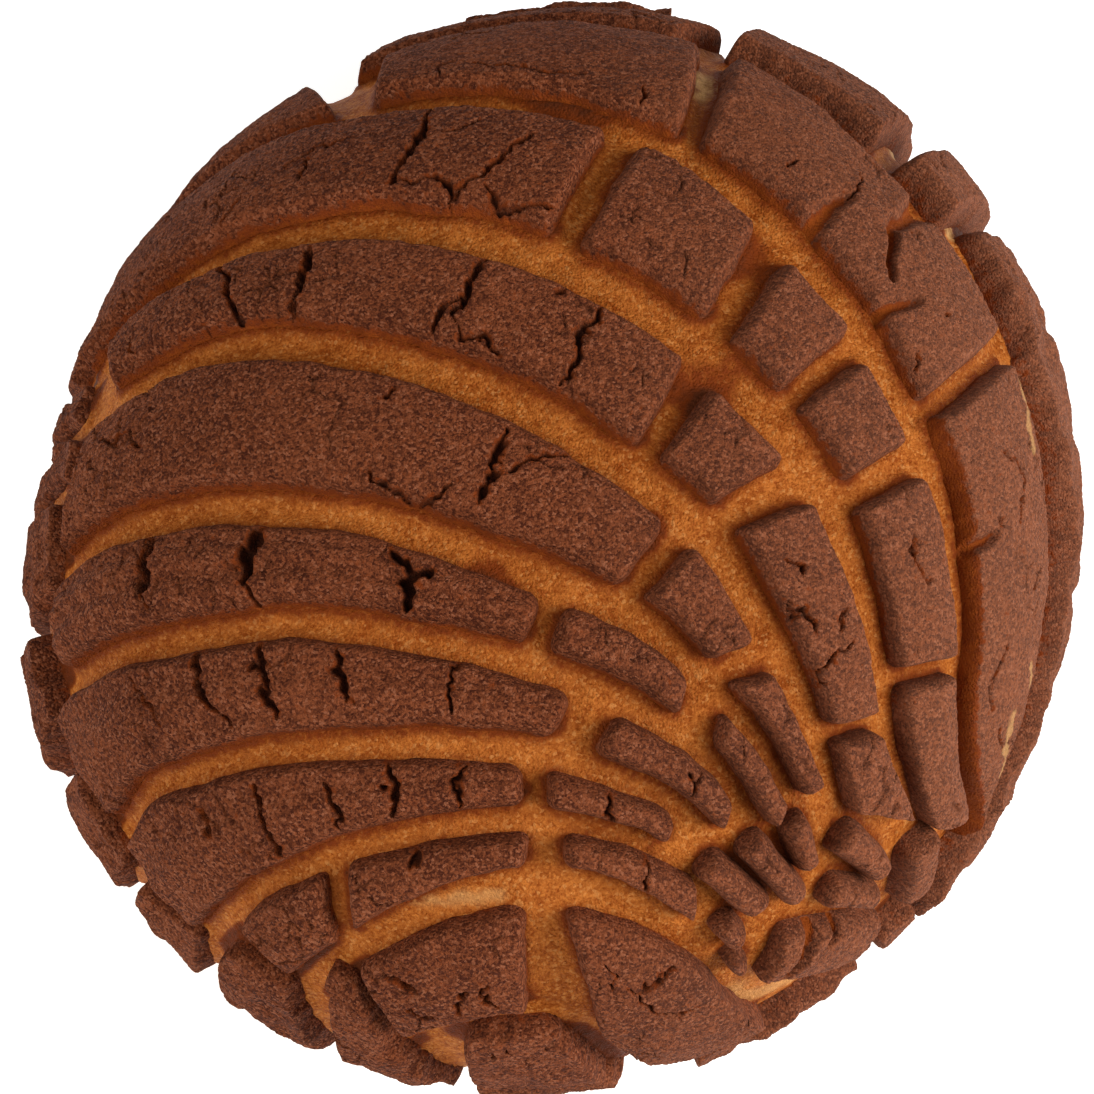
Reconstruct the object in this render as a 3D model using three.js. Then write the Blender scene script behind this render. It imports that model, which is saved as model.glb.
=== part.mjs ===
// A chocolate concha: a round sweet bun under a scored shell of baked cocoa paste.
// Millimetres, +Z up. The flat foot of the bun stands on z = 0, below the middle of the object.
//
// The paste starts as a flat disc that is cut by a shell stamp and laid over the dough.
// Every place on the shell is therefore given on that flat disc: x and y run from the crown,
// and the distance from the crown is measured along the dome.

import * as THREE from 'three';

const { degToRad, lerp, clamp } = THREE.MathUtils;

// Bread: an oval dome with a rounded underside and a flat foot
const BREAD_RADIUS = 52;
const PLAN_STRETCH = 0.048;
const STRETCH_BEARING = degToRad(66);
const WAIST_HEIGHT = 15;
const CROWN_RISE = 35;
const SHOULDER_FULLNESS = 0.04;
const FOOT_FALL = degToRad(125);
const BREAD_SEGMENTS = 60;
const BREAD_STEPS = 20;

// Paste disc: distance from the crown to the waist, and to the lower edge of the shell
const QUARTER_ARC = 70;
const RIM_REACH = 78;

// Shell tiles
const PASTE_THICKNESS = 2.2;
const TILE_CROWN = 0.4;
const TILE_SHOULDER = 1.2;
const TILE_CORNER = 1.4;
const FLAP_CORNER = 3;
const TILE_EDGE_SHARE = 0.42;
const CORNER_SHARE = 0.8;
const CRUMB_THICKNESS_SHARE = 0.8;
const BREAD_GAP = 0.35;
const LEAST_THICKNESS = 0.4;
const COLUMN_STEP = 6.5;
const ROW_STEP = 5;
const LARGEST_EDGE_SHARE = 0.3;
const CORNER_STEP_SHARE = 0.3;
const FURROW_CLEARANCE = 2.5;
const LENGTH_STEPS = 24;

// Scored grooves: half the width of each one near the hinge of the shell and far from it, and the same for
// the cuts across the ribs
const GROOVE_HALVES = [
  [0.6, 1.2], [0.7, 1.5], [0.85, 1.7], [0.85, 1.7], [0.35, 1.45], [0.6, 1.15],
  [0.55, 1.1], [0.5, 1.05], [2.3, 1.8], [0.5, 1], [0.15, 0.3], [0.25, 0.5],
];
const CUT_HALVES = [0.45, 0.9];
const HINGE = new THREE.Vector2(33, -42);
const FAN_REACH = 40;
const NONE = [0, 0];
const NO_GROOVES = { inner: NONE, outer: NONE, start: NONE, end: NONE };

// Cracks of the baked paste, and the wider nicks left by the stamp
const CRACK = { halfWidth: 0.5, depth: 1.4 };
const NICK = { halfWidth: 1.2, depth: 2.1 };

// Colours
const BREAD_COLOUR = '#a8612c';
const PASTE_COLOUR = '#6b3a26';
const BREAD_ROUGHNESS = 0.55;
const PASTE_ROUGHNESS = 0.9;

// Grooves of the shell on the paste disc, each from the hinge out to the rim
const GROOVES = [
  [[57, -43.5], [57, -33], [58.5, -14], [53, 5], [43, 19.5], [31, 31.5], [15.5, 43.5], [-6, 49], [-26, 48]],
  [
    [56, -46], [53, -38], [43.5, -27.5], [40, -14], [35, -0.5], [23.5, 15], [7, 28.5],
    [-17.5, 36], [-38, 37.5], [-60, 33.5],
  ],
  [
    [50, -45], [35.5, -30.5], [30, -17], [23.5, -3], [10, 9.5], [-12, 20], [-34.5, 21],
    [-53, 15.5], [-72, 8.5],
  ],
  [[29, -35], [22.5, -22.5], [12.5, -7.5], [-5.5, 4], [-24, 10], [-41.5, 9], [-59.5, 2.5], [-74, -5.5]],
  [[24.3, -34.6], [16.2, -23.2], [5.5, -14.5], [-10, -8], [-28, -5], [-46, -6], [-62.5, -13], [-74, -19]],
  [[20.5, -35.5], [12, -26], [-1, -19], [-16, -15.5], [-33, -16], [-50, -19.5], [-64.5, -27.5], [-73, -33]],
  [[17.5, -37], [8.3, -29.5], [-6, -25], [-22, -25.5], [-38, -30], [-51.5, -40], [-60.5, -47.5]],
  [[16, -39.5], [6, -33.5], [-7, -31.5], [-21.5, -36], [-34, -44.5], [-46, -56], [-52, -64]],
  [[23, -61], [14.7, -46.7], [2, -38.3], [-11, -40], [-22.5, -49], [-32, -62], [-38, -72]],
  [[35, -61], [24, -68.5], [13, -68.5], [5, -58], [-3, -54], [-12, -57], [-21, -64], [-29, -74]],
  [[53, -47], [60, -36], [65, -18], [63, -3], [56.5, 7], [46, 20], [41, 29]],
  [[21, 55], [9, 59.5], [-4, 61], [-19, 59]],
];

// Ribs between two grooves, or between a groove and the rim. Each cut across a rib is a pair:
// how far along its inner groove and how far along its outer one, as a share of the groove's
// length from the hinge. On the rim the second number is a bearing in degrees. A wide cut has half its
// width as a third number.
const RIM = 'rim';
const RIBS = [
  { name: 'flap_east', inner: 10, outer: RIM, cuts: [[0, -46], [1, 36]], lift: 0.7 },
  { name: 'northeast_end', inner: 0, outer: RIM, cuts: [[0.515, 37], [0.575, 46]], thickness: 3.6 },
  { name: 'northeast_side', inner: 0, outer: RIM, cuts: [[0.585, 48], [0.71, 69]], thickness: 3.4 },
  { name: 'back_strip', inner: 0, outer: 11, cuts: [[0.735, 0], [0.98, 1]] },
  { name: 'northwest_strip', inner: 1, outer: RIM, cuts: [[0.74, 117], [0.95, 147]] },
  {
    name: 'rib_1',
    inner: 1,
    outer: 0,
    cuts: [[0.015, 0.01], [0.35, 0.43], [0.54, 0.71], [0.73, 0.955]],
  },
  {
    name: 'rib_2',
    inner: 2,
    outer: 1,
    cuts: [
      [0.07, 0.055], [0.2, 0.2], [0.308, 0.33, 1.3], [0.37, 0.403],
      [0.422, 0.478, 1.3], [0.515, 0.575, 1.1], [0.885, 0.94],
    ],
  },
  {
    name: 'rib_3',
    inner: 3,
    outer: 2,
    cuts: [[0.01, 0.085], [0.08, 0.175], [0.248, 0.328, 1.6], [0.305, 0.42, 1.1], [0.75, 0.83]],
  },
  {
    name: 'rib_4',
    inner: 4,
    outer: 3,
    cuts: [[0.02, 0.04], [0.161, 0.149, 1.2], [0.25, 0.255, 1.1], [0.785, 0.765]],
  },
  { name: 'rib_5', inner: 5, outer: 4, cuts: [[0, 0.03], [0.122, 0.156, 1.9], [0.27, 0.297], [0.765, 0.8]] },
  { name: 'rib_6', inner: 6, outer: 5, cuts: [[0.03, 0.06], [0.225, 0.21, 1.7], [0.8, 0.82]] },
  { name: 'rib_7', inner: 7, outer: 6, cuts: [[0.08, 0.09], [0.235, 0.25], [0.745, 0.8]] },
  {
    name: 'rib_8',
    inner: 8,
    outer: 7,
    cuts: [[0.205, 0.03], [0.395, 0.222, 1.3], [0.63, 0.445], [0.725, 0.66]],
  },
  { name: 'south_right', inner: 9, outer: 8, cuts: [[0.08, 0.02], [0.47, 0.39]] },
  { name: 'south_left', inner: 9, outer: 8, cuts: [[0.56, 0.4], [0.76, 0.64]] },
];

// Flaps of paste round the rim: bearings in degrees at the upper and at the lower edge, distances from
// the crown, and thickness
const FLAPS = [
  { name: 'flap_north', bearings: [[76.5, 99], [76.5, 99]], reaches: [63, 77], thickness: 4.2 },
  { name: 'flap_northwest', bearings: [[149.5, 162], [149.5, 162]], reaches: [65, 78], thickness: 2 },
  { name: 'flap_west_1', bearings: [[164.5, 170.5], [164.5, 171]], reaches: [53, 77], thickness: 1.2 },
  { name: 'flap_west_2', bearings: [[171.5, 178], [172, 178]], reaches: [51, 77], thickness: 1.4 },
  { name: 'flap_west_3', bearings: [[179.5, 190], [179.5, 190]], reaches: [53.8, 78], thickness: 1.8 },
  { name: 'flap_west_4', bearings: [[192, 203], [192, 206.5]], reaches: [59.5, 78], thickness: 2.4 },
  { name: 'flap_southwest_1', bearings: [[208, 220], [208.5, 220]], reaches: [61, 78], thickness: 1.8 },
  { name: 'flap_southwest_2', bearings: [[222, 231.5], [222, 232]], reaches: [62, 78], thickness: 1.6 },
  { name: 'flap_southwest_3', bearings: [[233.5, 243], [234, 248]], reaches: [57, 78], thickness: 2 },
  { name: 'flap_south_1', bearings: [[245.5, 249.5], [250.5, 262]], reaches: [51.5, 77], thickness: 2.2 },
  { name: 'flap_south_2', bearings: [[260.5, 271.5], [263.5, 279]], reaches: [55.6, 77], thickness: 2.2 },
  { name: 'flap_southeast_1', bearings: [[285, 306], [285, 306]], reaches: [75, 85], thickness: 2.4 },
  { name: 'flap_southeast_2', bearings: [[309, 315], [309, 315]], reaches: [70, 82], thickness: 2.2 },
];

// Crumbs of paste where the grooves meet: middle on the paste disc, length, width and turn
const CRUMBS = [
  { middle: [24, -36], length: 6, width: 3, turn: -60 },
  { middle: [32, -38.2], length: 9.5, width: 3.8, turn: -35 },
  { middle: [32.3, -43.3], length: 8.5, width: 3.6, turn: -17 },
  { middle: [44, -42.8], length: 10.5, width: 6, turn: -62 },
  { middle: [21.3, -38.5], length: 10.5, width: 3.4, turn: -45 },
  { middle: [17, -39.5], length: 9.5, width: 3.4, turn: -43 },
  { middle: [17.6, -44.9], length: 4.6, width: 2.8, turn: -53 },
  { middle: [19.3, -49.5], length: 4, width: 2.4, turn: -51 },
  { middle: [31.8, -51.3], length: 17, width: 8.4, turn: -10 },
];

// Cracks across a tile, each as a share of the tile's length from its hinge end
const CRACKS = {
  rib_2_f: [0.27, 0.46],
  rib_3_d: [0.14, 0.32, 0.58, 0.72],
  rib_4_c: [0.245],
  rib_5_c: [0.195, 0.46, 0.665],
  rib_6_b: [0.174, 0.323, 0.439, 0.545, 0.675],
  rib_7_b: [0.127, 0.249, 0.362, 0.522],
};

// Nicks into a tile: share of its length, and the span of its width that the nick crosses
const NICKS = {
  rib_1_a: [{ along: 0.755, from: 0, to: 0.3 }],
  rib_1_b: [
    { along: 0.25, from: 0, to: 0.3 },
    { along: 0.4, from: 0.44, to: 1 },
    { along: 0.58, from: 0, to: 0.5 },
  ],
};

const UNDERSIDE_DROP = WAIST_HEIGHT / -Math.cos(FOOT_FALL);

// Half section of a round dome at an angle from the crown
function domeSection(fall) {
  const above = fall < Math.PI / 2;
  const fullness = above ? 1 + SHOULDER_FULLNESS * Math.sin(2 * fall) ** 2 : 1;
  const rise = above ? CROWN_RISE : UNDERSIDE_DROP;
  return {
    radius: BREAD_RADIUS * Math.sin(fall) * fullness,
    height: WAIST_HEIGHT + rise * Math.cos(fall) * fullness,
    rise,
  };
}

function planShare(bearing) {
  return 1 + PLAN_STRETCH * Math.cos(2 * (bearing - STRETCH_BEARING));
}

// Carries a place on the flat paste disc to the dome, raised along the dome's normal
function layOnDome(place, height) {
  const bearing = Math.atan2(place.y, place.x);
  const fall = (place.length() / QUARTER_ARC) * (Math.PI / 2);
  const section = domeSection(fall);
  const radius = section.radius * planShare(bearing);
  const outward = Math.sin(fall) / BREAD_RADIUS;
  const normal = new THREE.Vector3(
    Math.cos(bearing) * outward,
    Math.sin(bearing) * outward,
    Math.cos(fall) / section.rise,
  ).normalize();
  return new THREE.Vector3(radius * Math.cos(bearing), radius * Math.sin(bearing), section.height)
    .addScaledVector(normal, height);
}

function polar(bearingDegrees, reach) {
  const bearing = degToRad(bearingDegrees);
  return new THREE.Vector2(reach * Math.cos(bearing), reach * Math.sin(bearing));
}

const grooveCurves = GROOVES.map(
  (points) => new THREE.SplineCurve(points.map(([x, y]) => new THREE.Vector2(x, y))),
);

function pointOn(line, along) {
  return line === RIM ? polar(along, RIM_REACH) : grooveCurves[line].getPointAt(along);
}

// A patch carries two shares, along a tile and across it to the right, to a place on the paste disc
function ribPatch(rib, index) {
  const [start, end] = [rib.cuts[index], rib.cuts[index + 1]];
  return (along, across) => {
    const innerPoint = pointOn(rib.inner, lerp(start[0], end[0], along));
    const outerPoint = pointOn(rib.outer, lerp(start[1], end[1], along));
    return innerPoint.lerp(outerPoint, across);
  };
}

function flapPatch({ bearings: [upper, lower], reaches }) {
  return (along, across) => {
    const bearing = lerp(lerp(...upper, along), lerp(...lower, along), across);
    return polar(bearing, lerp(...reaches, across));
  };
}

function crumbPatch(crumb) {
  const origin = new THREE.Vector2();
  return (along, across) => {
    const place = new THREE.Vector2((along - 0.5) * crumb.length, (0.5 - across) * crumb.width);
    return place.rotateAround(origin, degToRad(crumb.turn)).add(new THREE.Vector2(...crumb.middle));
  };
}

// Half width of a groove at a place on the paste disc: it grows with the distance from the hinge
function halfWidth([nearHinge, farOut], place) {
  return lerp(nearHinge, farOut, clamp(place.distanceTo(HINGE) / FAN_REACH, 0, 1));
}

function middleLength(patch) {
  let length = 0;
  for (let i = 0; i < LENGTH_STEPS; i += 1) {
    length += patch(i / LENGTH_STEPS, 0.5).distanceTo(patch((i + 1) / LENGTH_STEPS, 0.5));
  }
  return length;
}

// Sizes of a tile once half of every groove and cut round it is taken off
function tileFrame(patch, halves, largestCorner) {
  const fullLength = middleLength(patch);
  const startShare = halfWidth(halves.start, patch(0, 0.5)) / fullLength;
  const endShare = halfWidth(halves.end, patch(1, 0.5)) / fullLength;
  const alongPatch = (along) => lerp(startShare, 1 - endShare, along);
  const innerAt = (along) => halfWidth(halves.inner, patch(alongPatch(along), 0.5));
  const outerAt = (along) => halfWidth(halves.outer, patch(alongPatch(along), 0.5));
  const widthAt = (along) => {
    const share = alongPatch(along);
    return patch(share, 0).distanceTo(patch(share, 1));
  };
  const halfAt = (along) => (widthAt(along) - innerAt(along) - outerAt(along)) / 2;
  const middleAt = (along) => 0.5 + (innerAt(along) - outerAt(along)) / 2 / widthAt(along);
  const length = fullLength * (1 - startShare - endShare);
  const corner = Math.min(largestCorner, CORNER_SHARE * Math.min(halfAt(0), halfAt(1), length / 2));
  return { length, corner, halfAt, widthAt, middleAt, alongPatch };
}

// How far a round corner draws the long sides of a tile in, at a distance from its end
function cornerInset(corner, fromEnd) {
  const left = Math.max(corner - fromEnd, 0);
  return corner - Math.sqrt(corner * corner - left * left);
}

// Shares along a tile where its top has a row of corners: ends, even steps, cracks and nicks
function columnShares(frame, furrows) {
  const endShare = frame.corner / frame.length;
  const steps = Math.max(1, Math.round(frame.length / COLUMN_STEP));
  const shares = [0, CORNER_STEP_SHARE * endShare];
  for (let i = 0; i <= steps; i += 1) {
    const share = lerp(endShare, 1 - endShare, i / steps);
    const crowded = furrows.some(
      (f) => Math.abs(f.along - share) * frame.length < FURROW_CLEARANCE * f.halfWidth,
    );
    if (!crowded) {
      shares.push(share);
    }
  }
  furrows.forEach((furrow) => {
    const half = furrow.halfWidth / frame.length;
    shares.push(furrow.along - half, furrow.along, furrow.along + half);
  });
  shares.push(1 - CORNER_STEP_SHARE * endShare, 1);
  return shares.sort((a, b) => a - b);
}

function rowShares(width) {
  const edge = Math.min(TILE_SHOULDER / width, LARGEST_EDGE_SHARE);
  const steps = Math.max(1, Math.round((width * (1 - 2 * edge)) / ROW_STEP));
  const inner = Array.from({ length: steps + 1 }, (_, i) => lerp(edge, 1 - edge, i / steps));
  return [0, ...inner, 1];
}

// Thickness of a tile: a rounded shoulder, a slight crown, and a valley at each crack and nick
function tileThickness(frame, along, across, furrows, thickness) {
  const fromEnd = Math.min(along, 1 - along) * frame.length;
  const fromSide = Math.min(across, 1 - across) * 2 * frame.halfAt(along);
  const inShoulder = clamp(Math.min(fromEnd, fromSide) / TILE_SHOULDER, 0, 1);
  const round = Math.sqrt(1 - (1 - inShoulder) ** 2);
  const crown = TILE_CROWN * (1 - (2 * across - 1) ** 2) * round;
  const full = thickness * lerp(TILE_EDGE_SHARE, 1, round) + crown;
  const valley = furrows.find((f) => f.along === along && across >= f.from && across <= f.to);
  return Math.max(LEAST_THICKNESS, full - (valley ? valley.depth : 0));
}

function furrowsOf(name) {
  const cracks = (CRACKS[name] ?? []).map((along) => ({ ...CRACK, along, from: 0, to: 1 }));
  const nicks = (NICKS[name] ?? []).map((nick) => ({ ...NICK, ...nick }));
  return [...cracks, ...nicks];
}

// One tile of paste: a box whose grid is bent over the dome
function makeTile({
  name,
  patch,
  halves = NO_GROOVES,
  lift = 0,
  thickness = PASTE_THICKNESS,
  corner = TILE_CORNER,
}) {
  const frame = tileFrame(patch, halves, corner);
  const furrows = furrowsOf(name);
  const columns = columnShares(frame, furrows);
  const rows = rowShares(2 * frame.halfAt(0.5));
  const geometry = new THREE.BoxGeometry(1, 1, 1, columns.length - 1, rows.length - 1, 1);
  const corners = geometry.attributes.position;
  for (let i = 0; i < corners.count; i += 1) {
    const along = columns[Math.round((corners.getX(i) + 0.5) * (columns.length - 1))];
    const across = rows[Math.round((0.5 - corners.getY(i)) * (rows.length - 1))];
    const inset = cornerInset(frame.corner, Math.min(along, 1 - along) * frame.length);
    const halfShare = (frame.halfAt(along) - inset) / frame.widthAt(along);
    const place = patch(frame.alongPatch(along), frame.middleAt(along) + (across - 0.5) * 2 * halfShare);
    const isTop = corners.getZ(i) > 0;
    const rise = isTop ? tileThickness(frame, along, across, furrows, thickness) : 0;
    const point = layOnDome(place, BREAD_GAP + lift + rise);
    corners.setXYZ(i, point.x, point.y, point.z);
  }
  geometry.computeVertexNormals();
  const material = new THREE.MeshStandardMaterial({
    color: PASTE_COLOUR,
    roughness: PASTE_ROUGHNESS,
    metalness: 0,
  });
  const tile = new THREE.Mesh(geometry, material);
  tile.name = name;
  return tile;
}

// The bun: a turned half section, from the middle of the foot to the crown, drawn out to the oval plan
function makeBread() {
  const section = [new THREE.Vector2(0, 0)];
  for (let i = 0; i <= BREAD_STEPS; i += 1) {
    const { radius, height } = domeSection(lerp(FOOT_FALL, 0, i / BREAD_STEPS));
    section.push(new THREE.Vector2(Math.max(radius, 0), i === 0 ? 0 : height));
  }
  const geometry = new THREE.LatheGeometry(section, BREAD_SEGMENTS);
  geometry.rotateX(Math.PI / 2);
  const corners = geometry.attributes.position;
  for (let i = 0; i < corners.count; i += 1) {
    const share = planShare(Math.atan2(corners.getY(i), corners.getX(i)));
    corners.setXY(i, corners.getX(i) * share, corners.getY(i) * share);
  }
  geometry.computeVertexNormals();
  const material = new THREE.MeshStandardMaterial({
    color: BREAD_COLOUR,
    roughness: BREAD_ROUGHNESS,
    metalness: 0,
  });
  const bread = new THREE.Mesh(geometry, material);
  bread.name = 'bread_bun';
  return bread;
}

function cutHalves([, , wide]) {
  return wide === undefined ? CUT_HALVES : [wide, wide];
}

function ribTiles(rib) {
  const count = rib.cuts.length - 1;
  const inner = GROOVE_HALVES[rib.inner];
  const outer = rib.outer === RIM ? NONE : GROOVE_HALVES[rib.outer];
  return Array.from({ length: count }, (_, index) => ({
    name: count > 1 ? `${rib.name}_${String.fromCharCode('a'.charCodeAt(0) + index)}` : rib.name,
    patch: ribPatch(rib, index),
    halves: { inner, outer, start: cutHalves(rib.cuts[index]), end: cutHalves(rib.cuts[index + 1]) },
    lift: rib.lift,
    thickness: rib.thickness,
  }));
}

function flapTile(flap) {
  return { name: flap.name, patch: flapPatch(flap), thickness: flap.thickness, corner: FLAP_CORNER };
}

function crumbTile(crumb, index) {
  const thickness = Math.min(PASTE_THICKNESS, CRUMB_THICKNESS_SHARE * crumb.width);
  return { name: `hinge_crumb_${index + 1}`, patch: crumbPatch(crumb), thickness };
}

const tiles = [...RIBS.flatMap(ribTiles), ...FLAPS.map(flapTile), ...CRUMBS.map(crumbTile)];

const concha = new THREE.Group();
concha.add(makeBread(), ...tiles.map(makeTile));

// The middle of the whole object comes over the origin
const middle = new THREE.Box3().setFromObject(concha).getCenter(new THREE.Vector3());
concha.position.set(-middle.x, -middle.y, 0);

export default concha;
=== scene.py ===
# %% [markdown]
# # A chocolate concha
# A concha is a round sweet bun. Before it is baked, a disc of stiff cocoa paste is laid over the dough and
# scored with a shell stamp. In the oven the dough swells, the scored lines open into golden grooves, and the
# paste dries, cracks and crumbles. This lesson models the bun and every tile of paste as surfaces worked out
# with numpy, and finishes them with materials made of nodes.

import bpy
import numpy as np
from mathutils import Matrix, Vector


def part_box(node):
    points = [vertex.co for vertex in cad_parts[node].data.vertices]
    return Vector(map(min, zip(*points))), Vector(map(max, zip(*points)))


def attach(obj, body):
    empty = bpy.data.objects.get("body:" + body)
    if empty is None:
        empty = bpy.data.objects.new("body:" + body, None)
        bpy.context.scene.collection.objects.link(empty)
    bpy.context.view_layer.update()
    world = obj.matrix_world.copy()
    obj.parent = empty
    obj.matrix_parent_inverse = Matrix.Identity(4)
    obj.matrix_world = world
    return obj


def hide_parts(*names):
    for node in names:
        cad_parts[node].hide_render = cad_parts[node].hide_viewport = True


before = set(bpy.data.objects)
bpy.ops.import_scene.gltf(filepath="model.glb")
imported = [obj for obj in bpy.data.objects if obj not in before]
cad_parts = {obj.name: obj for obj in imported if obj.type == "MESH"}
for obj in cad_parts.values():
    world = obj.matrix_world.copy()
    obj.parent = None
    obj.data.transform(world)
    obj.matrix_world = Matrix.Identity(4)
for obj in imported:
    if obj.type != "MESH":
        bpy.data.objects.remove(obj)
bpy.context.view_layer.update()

MM = 0.001

# %% [markdown]
# ## The dome
# The baked bun is an oval dome on a rounded underside. A sphere would be too tall, and a sculpted mesh would
# be hard to lay a pattern on. Here the dome is a formula that carries the flat paste disc onto the bread: the
# distance from the crown, measured on the disc, becomes an angle down the side of the dome.

# %% Sizes of the dome, in millimetres and radians
BREAD_RADIUS = 52.0
PLAN_STRETCH = 0.048
STRETCH_BEARING = np.radians(66)
WAIST_HEIGHT = 15.0
CROWN_RISE = 35.0
SHOULDER_FULLNESS = 0.04
FOOT_FALL = np.radians(125)
UNDERSIDE_DROP = WAIST_HEIGHT / -np.cos(FOOT_FALL)
QUARTER_ARC = 70.0
FOOT_REACH = QUARTER_ARC * FOOT_FALL / (np.pi / 2)
bread_low, bread_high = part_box("bread_bun")
BREAD_MIDDLE = np.array((bread_low + bread_high) / 2)[:2] / MM


# %% From the flat paste disc to the dome
def lay_on_dome(places, heights):
    """Point over a disc place: the reach from the crown over QUARTER_ARC is the fall in right angles.
    The section is an ellipse, fuller at its shoulder, the plan an oval, and heights follow the normal."""
    reach = np.hypot(places[..., 0], places[..., 1])
    bearing = np.arctan2(places[..., 1], places[..., 0])
    fall = reach / QUARTER_ARC * np.pi / 2
    above = fall < np.pi / 2
    fullness = np.where(above, 1 + SHOULDER_FULLNESS * np.sin(2 * fall) ** 2, 1.0)
    rise = np.where(above, CROWN_RISE, UNDERSIDE_DROP)
    plan = 1 + PLAN_STRETCH * np.cos(2 * (bearing - STRETCH_BEARING))
    radius = BREAD_RADIUS * plan * np.sin(fall) * fullness
    level = WAIST_HEIGHT + rise * np.cos(fall) * fullness
    points = np.stack([radius * np.cos(bearing), radius * np.sin(bearing), level], -1)
    outward = np.sin(fall) / BREAD_RADIUS
    normals = np.stack([outward * np.cos(bearing), outward * np.sin(bearing), np.cos(fall) / rise], -1)
    normals /= np.linalg.norm(normals, axis=-1, keepdims=True)
    points += heights[..., None] * normals
    points[..., :2] += BREAD_MIDDLE
    return points


print("crown of the bread at", lay_on_dome(np.zeros((1, 2)), np.zeros(1))[0].round(1), "mm")

# %% [markdown]
# ## Uneven surfaces
# Dough and paste are uneven at every scale. Blender's Displace modifier could add that, but it can't tell a
# tile's edge from its top. A small noise function in numpy can be shaped freely: random numbers sit on a grid
# of corners, and a smooth blend fills the cells between them. A whole-number hash makes the numbers, so each
# run gives the same bun.


# %% Numbers that mix a corner's bits, the turn between two seeds' grids in radians, and the cells' jitter
COLUMN_FACTOR, ROW_FACTOR, SEED_FACTOR = 374761393, 668265263, 1013904223
STIRS = [(13, 1274126177), (15, 2246822519), (16, 1)]
SEED_TURN = 0.7
CELL_JITTER = 0.45


# %% Smooth noise and a net of cells on the paste disc
def corner_value(column, row, seed):
    """Number from -1 to 1 for each grid corner, by mixing the bits of its column, row and seed."""
    bits = column.astype(np.uint32) * np.uint32(COLUMN_FACTOR)
    bits += row.astype(np.uint32) * np.uint32(ROW_FACTOR)
    bits += np.uint32(seed * SEED_FACTOR % 2**32)
    for shift, factor in STIRS:
        bits = (bits ^ (bits >> np.uint32(shift))) * np.uint32(factor)
    return bits / 2.0**31 - 1


def noise(places, size, seed):
    """Noise from -1 to 1 whose lumps are size wide: corner values blended by 6t^5 - 15t^4 + 10t^3."""
    turn = seed * SEED_TURN
    x = (places[..., 0] * np.cos(turn) - places[..., 1] * np.sin(turn)) / size
    y = (places[..., 0] * np.sin(turn) + places[..., 1] * np.cos(turn)) / size
    column, row = np.floor(x).astype(np.int64), np.floor(y).astype(np.int64)
    across, up = x - column, y - row
    across = across**3 * (across * (across * 6 - 15) + 10)
    up = up**3 * (up * (up * 6 - 15) + 10)
    left = corner_value(column, row, seed) * (1 - up) + corner_value(column, row + 1, seed) * up
    column = column + 1
    right = corner_value(column, row, seed) * (1 - up) + corner_value(column, row + 1, seed) * up
    return left * (1 - across) + right * across


def cell_border(places, size, seed):
    """Distance to the border of the nearest cell: far minus near distance to one jittered seed per cell."""
    cell = np.floor(places / size).astype(np.int64)
    near = np.full(places.shape[:-1], np.inf)
    far = np.full(places.shape[:-1], np.inf)
    for step in range(9):
        column, row = cell[..., 0] + step % 3 - 1, cell[..., 1] + step // 3 - 1
        x = (column + 0.5 + CELL_JITTER * corner_value(column, row, seed)) * size
        y = (row + 0.5 + CELL_JITTER * corner_value(column, row, seed + 1)) * size
        distance = np.hypot(places[..., 0] - x, places[..., 1] - y)
        far = np.minimum(far, np.maximum(near, distance))
        near = np.minimum(near, distance)
    return far - near


def ease(value, start, end):
    """Smooth step: 0 at start, 1 at end, flat at both."""
    share = np.clip((value - start) / (end - start), 0, 1)
    return share * share * (3 - 2 * share)


def layered(places, layers):
    """Sum of noises. Each layer has its height and the width of its lumps in mm, and its seed."""
    return sum(height * noise(places, size, seed) for height, size, seed in layers)


def shifts(places, layers):
    """Two layered noises that move a place both ways. The second way takes the next seeds."""
    return layered(places, layers), layered(places, [(*sizes, seed + 1) for *sizes, seed in layers])


test_places = np.stack(np.meshgrid(np.arange(200.0), np.arange(200.0)), -1)
print("noise spread:", noise(test_places, 3.0, 5).std().round(2))

# %% [markdown]
# ## The scored grooves
# The stamp's curved lines fan out from a hinge at the edge of the shell. Each one is a smooth line through a
# few places on the paste disc. Blender's own curves could draw it, but the tiles need any point of it by its
# share of the length, so the line is a Catmull-Rom spline measured in numpy.

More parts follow.
